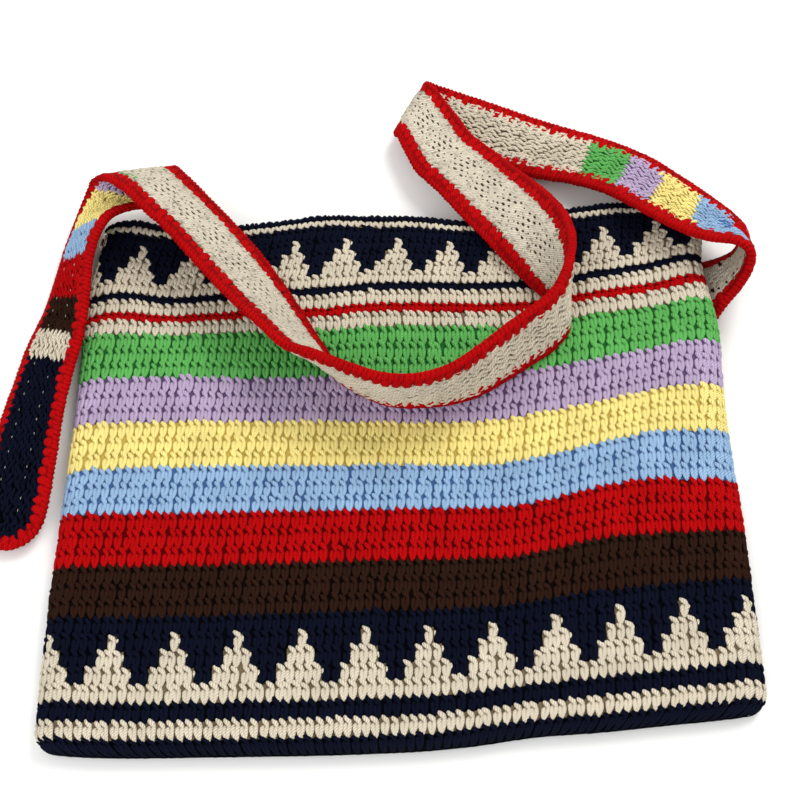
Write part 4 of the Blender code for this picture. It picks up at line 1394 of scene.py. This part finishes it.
def fibre_material(name, crest, painted_shade_code, twist, painted_groove_light, sheen, rough, gloss):
    """A spun fibre: painted in shade between its strands and along the grooves of its twist, ridged by
    its twist and fuzzy.

    The twist is the distance between two plies along the yarn, in millimetres. The crest is a linear
    colour that a user may set, and the deep one is an sRGB code for the painted shade in the gaps
    between strands.
    """
    if name in bpy.data.materials:
        return bpy.data.materials[name]
    made = bpy.data.materials.new(name)
    made.use_nodes = True
    tree = made.node_tree
    shader = tree.nodes["Principled BSDF"]
    # The depth attribute holds each point's painted shading.
    depth = add_node(tree, "ShaderNodeAttribute", attribute_name="depth")
    place = add_node(tree, "ShaderNodeTexCoord")
    yarn = add_node(tree, "ShaderNodeUVMap", uv_map="yarn")
    # The painted shade falls from the crest of a strand into the gap beside it.
    fall = add_node(
        tree,
        "ShaderNodeMapRange",
        {"Value": depth.outputs["Fac"], "From Min": 0.02, "From Max": 0.72},
        interpolation_type="SMOOTHSTEP",
    )
    body = add_node(
        tree,
        "ShaderNodeMix",
        {"Factor": fall.outputs["Result"], "A": (*linear(painted_shade_code), 1.0), "B": (*crest, 1.0)},
        data_type="RGBA",
    )
    # Its dye and its wear are uneven.
    patch = add_node(
        tree,
        "ShaderNodeTexNoise",
        {"Vector": place.outputs["Object"], "Scale": DYE_PATCHES, "Detail": 3.0},
    )
    tint = add_node(
        tree,
        "ShaderNodeMapRange",
        {
            "Value": patch.outputs["Fac"],
            "From Min": 0.3,
            "From Max": 0.7,
            "To Min": 0.90,
            "To Max": 1.08,
        },
    )
    dyed = add_node(
        tree,
        "ShaderNodeVectorMath",
        {0: body.outputs["Result"], "Scale": tint.outputs["Result"]},
        operation="SCALE",
    )
    # The plies of the yarn wind round it, with a painted shade line between them.
    plies = add_node(
        tree,
        "ShaderNodeTexWave",
        {
            "Vector": yarn.outputs["UV"],
            "Scale": WAVE_LENGTH / twist,
            "Distortion": 1.6,
            "Detail": 1.0,
        },
        bands_direction="DIAGONAL",
    )
    painted_ply_shade = add_node(
        tree,
        "ShaderNodeMapRange",
        {
            "Value": plies.outputs["Fac"],
            "From Min": 0.0,
            "From Max": 0.55,
            "To Min": painted_groove_light,
            "To Max": 1.0,
        },
        interpolation_type="SMOOTHSTEP",
    )
    twisted = add_node(
        tree,
        "ShaderNodeVectorMath",
        {0: dyed.outputs["Vector"], "Scale": painted_ply_shade.outputs["Result"]},
        operation="SCALE",
    )
    tree.links.new(twisted.outputs["Vector"], shader.inputs["Base Color"])
    # Its loose fibres roughen it.
    fuzz = add_node(
        tree,
        "ShaderNodeTexNoise",
        {"Vector": place.outputs["Object"], "Scale": LOOSE_FIBRES, "Detail": 2.0},
    )
    rise = add_node(
        tree,
        "ShaderNodeMath",
        {0: fuzz.outputs["Fac"], 1: 0.55, 2: plies.outputs["Fac"]},
        operation="MULTIPLY_ADD",
    )
    bump = add_node(
        tree,
        "ShaderNodeBump",
        {"Height": rise.outputs["Value"], "Strength": 0.55, "Distance": 0.00025},
    )
    tree.links.new(bump.outputs["Normal"], shader.inputs["Normal"])
    shader.inputs["Roughness"].default_value = rough
    shader.inputs["Specular IOR Level"].default_value = gloss
    shader.inputs["Sheen Weight"].default_value = sheen
    shader.inputs["Sheen Roughness"].default_value = 0.45
    shader.inputs["Sheen Tint"].default_value = (*crest, 1.0)
    return made


def yarn_material(name):
    """Soft cotton yarn, plied and a little fuzzy, in one of the bag's colours."""
    return fibre_material(
        "cotton_yarn_" + name,
        getattr(bpy.context.scene.crochet_colours, name),
        YARNS[name][1],
        twist=1.5,
        painted_groove_light=0.62,
        sheen=0.08,
        rough=0.9,
        gloss=0.04,
    )


def lace_material():
    """Fine cotton lace: tight threads, slightly glossier than the yarn."""
    return fibre_material(
        "cotton_lace",
        bpy.context.scene.crochet_colours.lace,
        LACE_PAINTED_SHADE_HEX,
        twist=1.6,
        painted_groove_light=0.5,
        sheen=0.10,
        rough=0.85,
        gloss=0.1,
    )


def thread_material():
    """Pale sewing thread, thin and slightly glossy."""
    return fibre_material(
        "sewing_thread",
        bpy.context.scene.crochet_colours.thread,
        THREAD_HEX,
        twist=0.3,
        painted_groove_light=0.9,
        sheen=0.1,
        rough=0.5,
        gloss=0.3,
    )


def metal_material():
    """Plated steel, copper-coloured in random spots."""
    made = bpy.data.materials.new("plated_metal")
    made.use_nodes = True
    tree = made.node_tree
    shader = tree.nodes["Principled BSDF"]
    place = add_node(tree, "ShaderNodeTexCoord")
    copper_spot = add_node(
        tree,
        "ShaderNodeTexNoise",
        {"Vector": place.outputs["Object"], "Scale": COPPER_SPOTS, "Detail": 3.0},
    )
    share = add_node(
        tree,
        "ShaderNodeMapRange",
        {"Value": copper_spot.outputs["Fac"], "From Min": 0.52, "From Max": 0.7},
    )
    colour = add_node(
        tree,
        "ShaderNodeMix",
        {
            "Factor": share.outputs["Result"],
            "A": (*bpy.context.scene.crochet_colours.steel, 1.0),
            "B": (*linear(COPPER_HEX), 1.0),
        },
        data_type="RGBA",
    )
    tree.links.new(colour.outputs["Result"], shader.inputs["Base Color"])
    shader.inputs["Metallic"].default_value = 1.0
    shader.inputs["Roughness"].default_value = 0.22
    return made


def floor_material():
    """A matt white sweep of paper."""
    made = bpy.data.materials.new("studio_paper")
    made.use_nodes = True
    shader = made.node_tree.nodes["Principled BSDF"]
    shader.inputs["Base Color"].default_value = (*bpy.context.scene.crochet_colours.floor, 1.0)
    shader.inputs["Roughness"].default_value = 0.9
    shader.inputs["Specular IOR Level"].default_value = 0.1
    return made


# The stage.


# The floor lies this far under the bag, in metres.
FLOOR_UNDER = 0.0003


def build_floor(settings):
    """The floor, a plain square under the bag."""
    mesh = bpy.data.meshes.new("floor")
    shape = bmesh.new()
    half = settings.floor_size / 2.0
    square = ((-1, -1), (1, -1), (1, 1), (-1, 1))
    shape.faces.new([shape.verts.new((x * half, y * half, -FLOOR_UNDER)) for x, y in square])
    shape.to_mesh(mesh)
    shape.free()
    mesh.materials.append(floor_material())
    made = bpy.data.objects.new("floor", mesh)
    bpy.context.scene.collection.objects.link(made)


def build_camera(settings):
    """The camera at the place worked out from the photograph."""
    azimuth, elevation, roll = settings.azimuth, settings.elevation, settings.roll
    ahead = Vector(
        (
            math.sin(azimuth) * math.cos(elevation),
            math.cos(azimuth) * math.cos(elevation),
            -math.sin(elevation),
        )
    )
    level = Vector((math.cos(azimuth), -math.sin(azimuth), 0.0))
    upright = level.cross(ahead)
    right = level * math.cos(roll) + upright * math.sin(roll)
    up = upright * math.cos(roll) - level * math.sin(roll)
    data = bpy.data.cameras.new("camera")
    data.sensor_width = 36.0
    data.lens = settings.lens
    made = bpy.data.objects.new("camera", data)
    eye = Vector(settings.target) - ahead * settings.distance
    turn = Matrix((right, up, -ahead)).transposed().to_4x4()
    made.matrix_world = Matrix.Translation(eye) @ turn
    bpy.context.scene.collection.objects.link(made)
    bpy.context.scene.camera = made


def add_light(name, place, target, size, power, colour):
    """A round soft lamp at a place, turned towards a target."""
    data = bpy.data.lights.new(name, "AREA")
    data.shape = "DISK"
    data.size = size
    data.energy = power
    data.color = colour
    made = bpy.data.objects.new(name, data)
    made.location = place
    made.rotation_euler = (Vector(target) - Vector(place)).to_track_quat("-Z", "Y").to_euler()
    bpy.context.scene.collection.objects.link(made)


def build_lights(settings):
    """A large soft light from the upper right, a wide fill and a white surround."""
    add_light(
        "key",
        place=(0.75, 0.85, 1.5),
        target=(0.0, 0.03, 0.0),
        size=0.9,
        power=settings.key_power,
        colour=(1.0, 0.985, 0.96),
    )
    add_light(
        "fill",
        place=(-0.5, -1.1, 1.1),
        target=(0.0, 0.0, 0.0),
        size=1.4,
        power=settings.fill_power,
        colour=(0.96, 0.98, 1.0),
    )
    world = bpy.data.worlds.new("studio")
    world.use_nodes = True
    tree = world.node_tree
    tree.nodes["Background"].inputs["Color"].default_value = (1.0, 1.0, 1.0, 1.0)
    tree.nodes["Background"].inputs["Strength"].default_value = settings.surround
    bpy.context.scene.world = world
    bpy.context.scene.view_settings.view_transform = "Standard"


# The add-on: settings, operators and panel.


class BagSettings(bpy.types.PropertyGroup):
    """The bag's sizes"""

    skin_depth: FloatProperty(
        name="Skin depth",
        description="Where the cloth lies under the bag's stitches, in millimetres",
        default=-0.45,
    )


def colour_settings():
    """A colour setting for the crests of each yarn and for each other material."""
    codes = {name: (crest, "the " + name + " yarn's crests") for name, (crest, _) in YARNS.items()}
    codes["lace"] = (LACE_HEX, "the lace tape's threads")
    codes["thread"] = (THREAD_HEX, "the sewing thread")
    codes["steel"] = (STEEL_HEX, "the eyelet's plating")
    codes["floor"] = (FLOOR_HEX, "the floor")
    return {
        name: FloatVectorProperty(
            name=name.capitalize(),
            description="Colour of " + meaning,
            default=linear(code),
            min=0.0,
            max=1.0,
            subtype="COLOR",
        )
        for name, (code, meaning) in codes.items()
    }


class ColourSettings(bpy.types.PropertyGroup):
    """The colours of the yarns and of the other materials"""

    __annotations__ = colour_settings()


class StrapSettings(bpy.types.PropertyGroup):
    """The strap's sizes"""

    strap_row: FloatProperty(
        name="Row", description="Height of one row of the strap, in millimetres", default=4.5
    )
    strap_stitch: FloatProperty(
        name="Stitch", description="Width of one stitch of the strap, in millimetres", default=4.45
    )
    edging_pitch: FloatProperty(
        name="Edging pitch", description="Width of one edging stitch, in millimetres", default=5.5
    )
    seam_step: FloatProperty(
        name="Seam step", description="Distance between sewing stitches, in millimetres", default=9.0
    )


class StageSettings(bpy.types.PropertyGroup):
    """The floor, the camera and the lights"""

    floor_size: FloatProperty(
        name="Floor", description="Side of the floor", default=6.0, unit="LENGTH"
    )
    target: FloatVectorProperty(
        name="Target",
        description="The point in the middle of the picture",
        default=(0.0018, 0.0444, 0.0),
        subtype="TRANSLATION",
    )
    azimuth: FloatProperty(
        name="Azimuth", description="Heading of the view", default=math.radians(-2.66), subtype="ANGLE"
    )
    elevation: FloatProperty(
        name="Elevation",
        description="Height of the view",
        default=math.radians(60.15),
        subtype="ANGLE",
    )
    roll: FloatProperty(
        name="Roll", description="Turn of the picture", default=math.radians(-3.85), subtype="ANGLE"
    )
    distance: FloatProperty(
        name="Distance", description="From the camera to the target", default=0.8574, unit="LENGTH"
    )
    lens: FloatProperty(name="Lens", description="Focal length in millimetres", default=68.47)
    key_power: FloatProperty(name="Key", description="Power of the main light", default=19.5)
    fill_power: FloatProperty(name="Fill", description="Power of the fill light", default=13.5)
    surround: FloatProperty(name="Surround", description="Strength of the white world", default=0.75)


class BAG_OT_yarns(bpy.types.Operator):
    """Crochet the bag's body from its yarns"""

    bl_idname = "crochet.bag_yarns"
    bl_label = "Crochet the Bag"

    def execute(self, context):
        build_bag(context.scene.crochet_bag)
        return {"FINISHED"}


class BAG_OT_strap(bpy.types.Operator):
    """Crochet the strap's middle from its yarns"""

    bl_idname = "crochet.strap_band"
    bl_label = "Crochet the Strap"

    def execute(self, context):
        build_strap_band(context.scene.crochet_strap)
        return {"FINISHED"}


class BAG_OT_edging(bpy.types.Operator):
    """Work the red edging all round the strap"""

    bl_idname = "crochet.strap_edging"
    bl_label = "Edge the Strap"

    def execute(self, context):
        build_edging(context.scene.crochet_strap)
        return {"FINISHED"}


class BAG_OT_lace(bpy.types.Operator):
    """Sew the lace tape to the strap's back"""

    bl_idname = "crochet.strap_lace"
    bl_label = "Sew the Lace"

    def execute(self, context):
        build_lace()
        build_seams(context.scene.crochet_strap)
        return {"FINISHED"}


class BAG_OT_eyelet(bpy.types.Operator):
    """Set the metal eyelet in the side fold"""

    bl_idname = "crochet.eyelet"
    bl_label = "Set the Eyelet"

    def execute(self, context):
        build_stud()
        return {"FINISHED"}


class BAG_OT_stage(bpy.types.Operator):
    """Lay the floor and place the camera and the lights"""

    bl_idname = "crochet.stage"
    bl_label = "Build the Stage"

    def execute(self, context):
        build_floor(context.scene.crochet_stage)
        build_camera(context.scene.crochet_stage)
        build_lights(context.scene.crochet_stage)
        return {"FINISHED"}


class BAG_PT_panel(bpy.types.Panel):
    """The bag's pieces, in the order in which they are made"""

    bl_label = "Crochet Bag"
    bl_idname = "BAG_PT_panel"
    bl_space_type = "VIEW_3D"
    bl_region_type = "UI"
    bl_category = "Crochet Bag"

    def draw(self, context):
        """Lists the operators, then the settings."""
        for operator in OPERATORS:
            self.layout.operator(operator.bl_idname)
        for place, group in GROUPS.items():
            box = self.layout.box()
            for name in group.__annotations__:
                box.prop(getattr(context.scene, place), name)


OPERATORS = (BAG_OT_yarns, BAG_OT_strap, BAG_OT_edging, BAG_OT_lace, BAG_OT_eyelet, BAG_OT_stage)
GROUPS = {
    "crochet_bag": BagSettings,
    "crochet_strap": StrapSettings,
    "crochet_colours": ColourSettings,
    "crochet_stage": StageSettings,
}
CLASSES = tuple(GROUPS.values()) + OPERATORS + (BAG_PT_panel,)


def register():
    """Adds the classes and the scene's settings."""
    for entry in CLASSES:
        bpy.utils.register_class(entry)
    for place, group in GROUPS.items():
        setattr(bpy.types.Scene, place, PointerProperty(type=group))


def unregister():
    """Takes the scene's settings and the classes away again."""
    for place in GROUPS:
        delattr(bpy.types.Scene, place)
    for entry in reversed(CLASSES):
        bpy.utils.unregister_class(entry)


def main():
    """Makes every piece and the stage."""
    register()
    bpy.ops.crochet.stage()
    bpy.ops.crochet.bag_yarns()
    bpy.ops.crochet.strap_band()
    bpy.ops.crochet.strap_edging()
    bpy.ops.crochet.strap_lace()
    bpy.ops.crochet.eyelet()


if __name__ == "__main__":
    main()
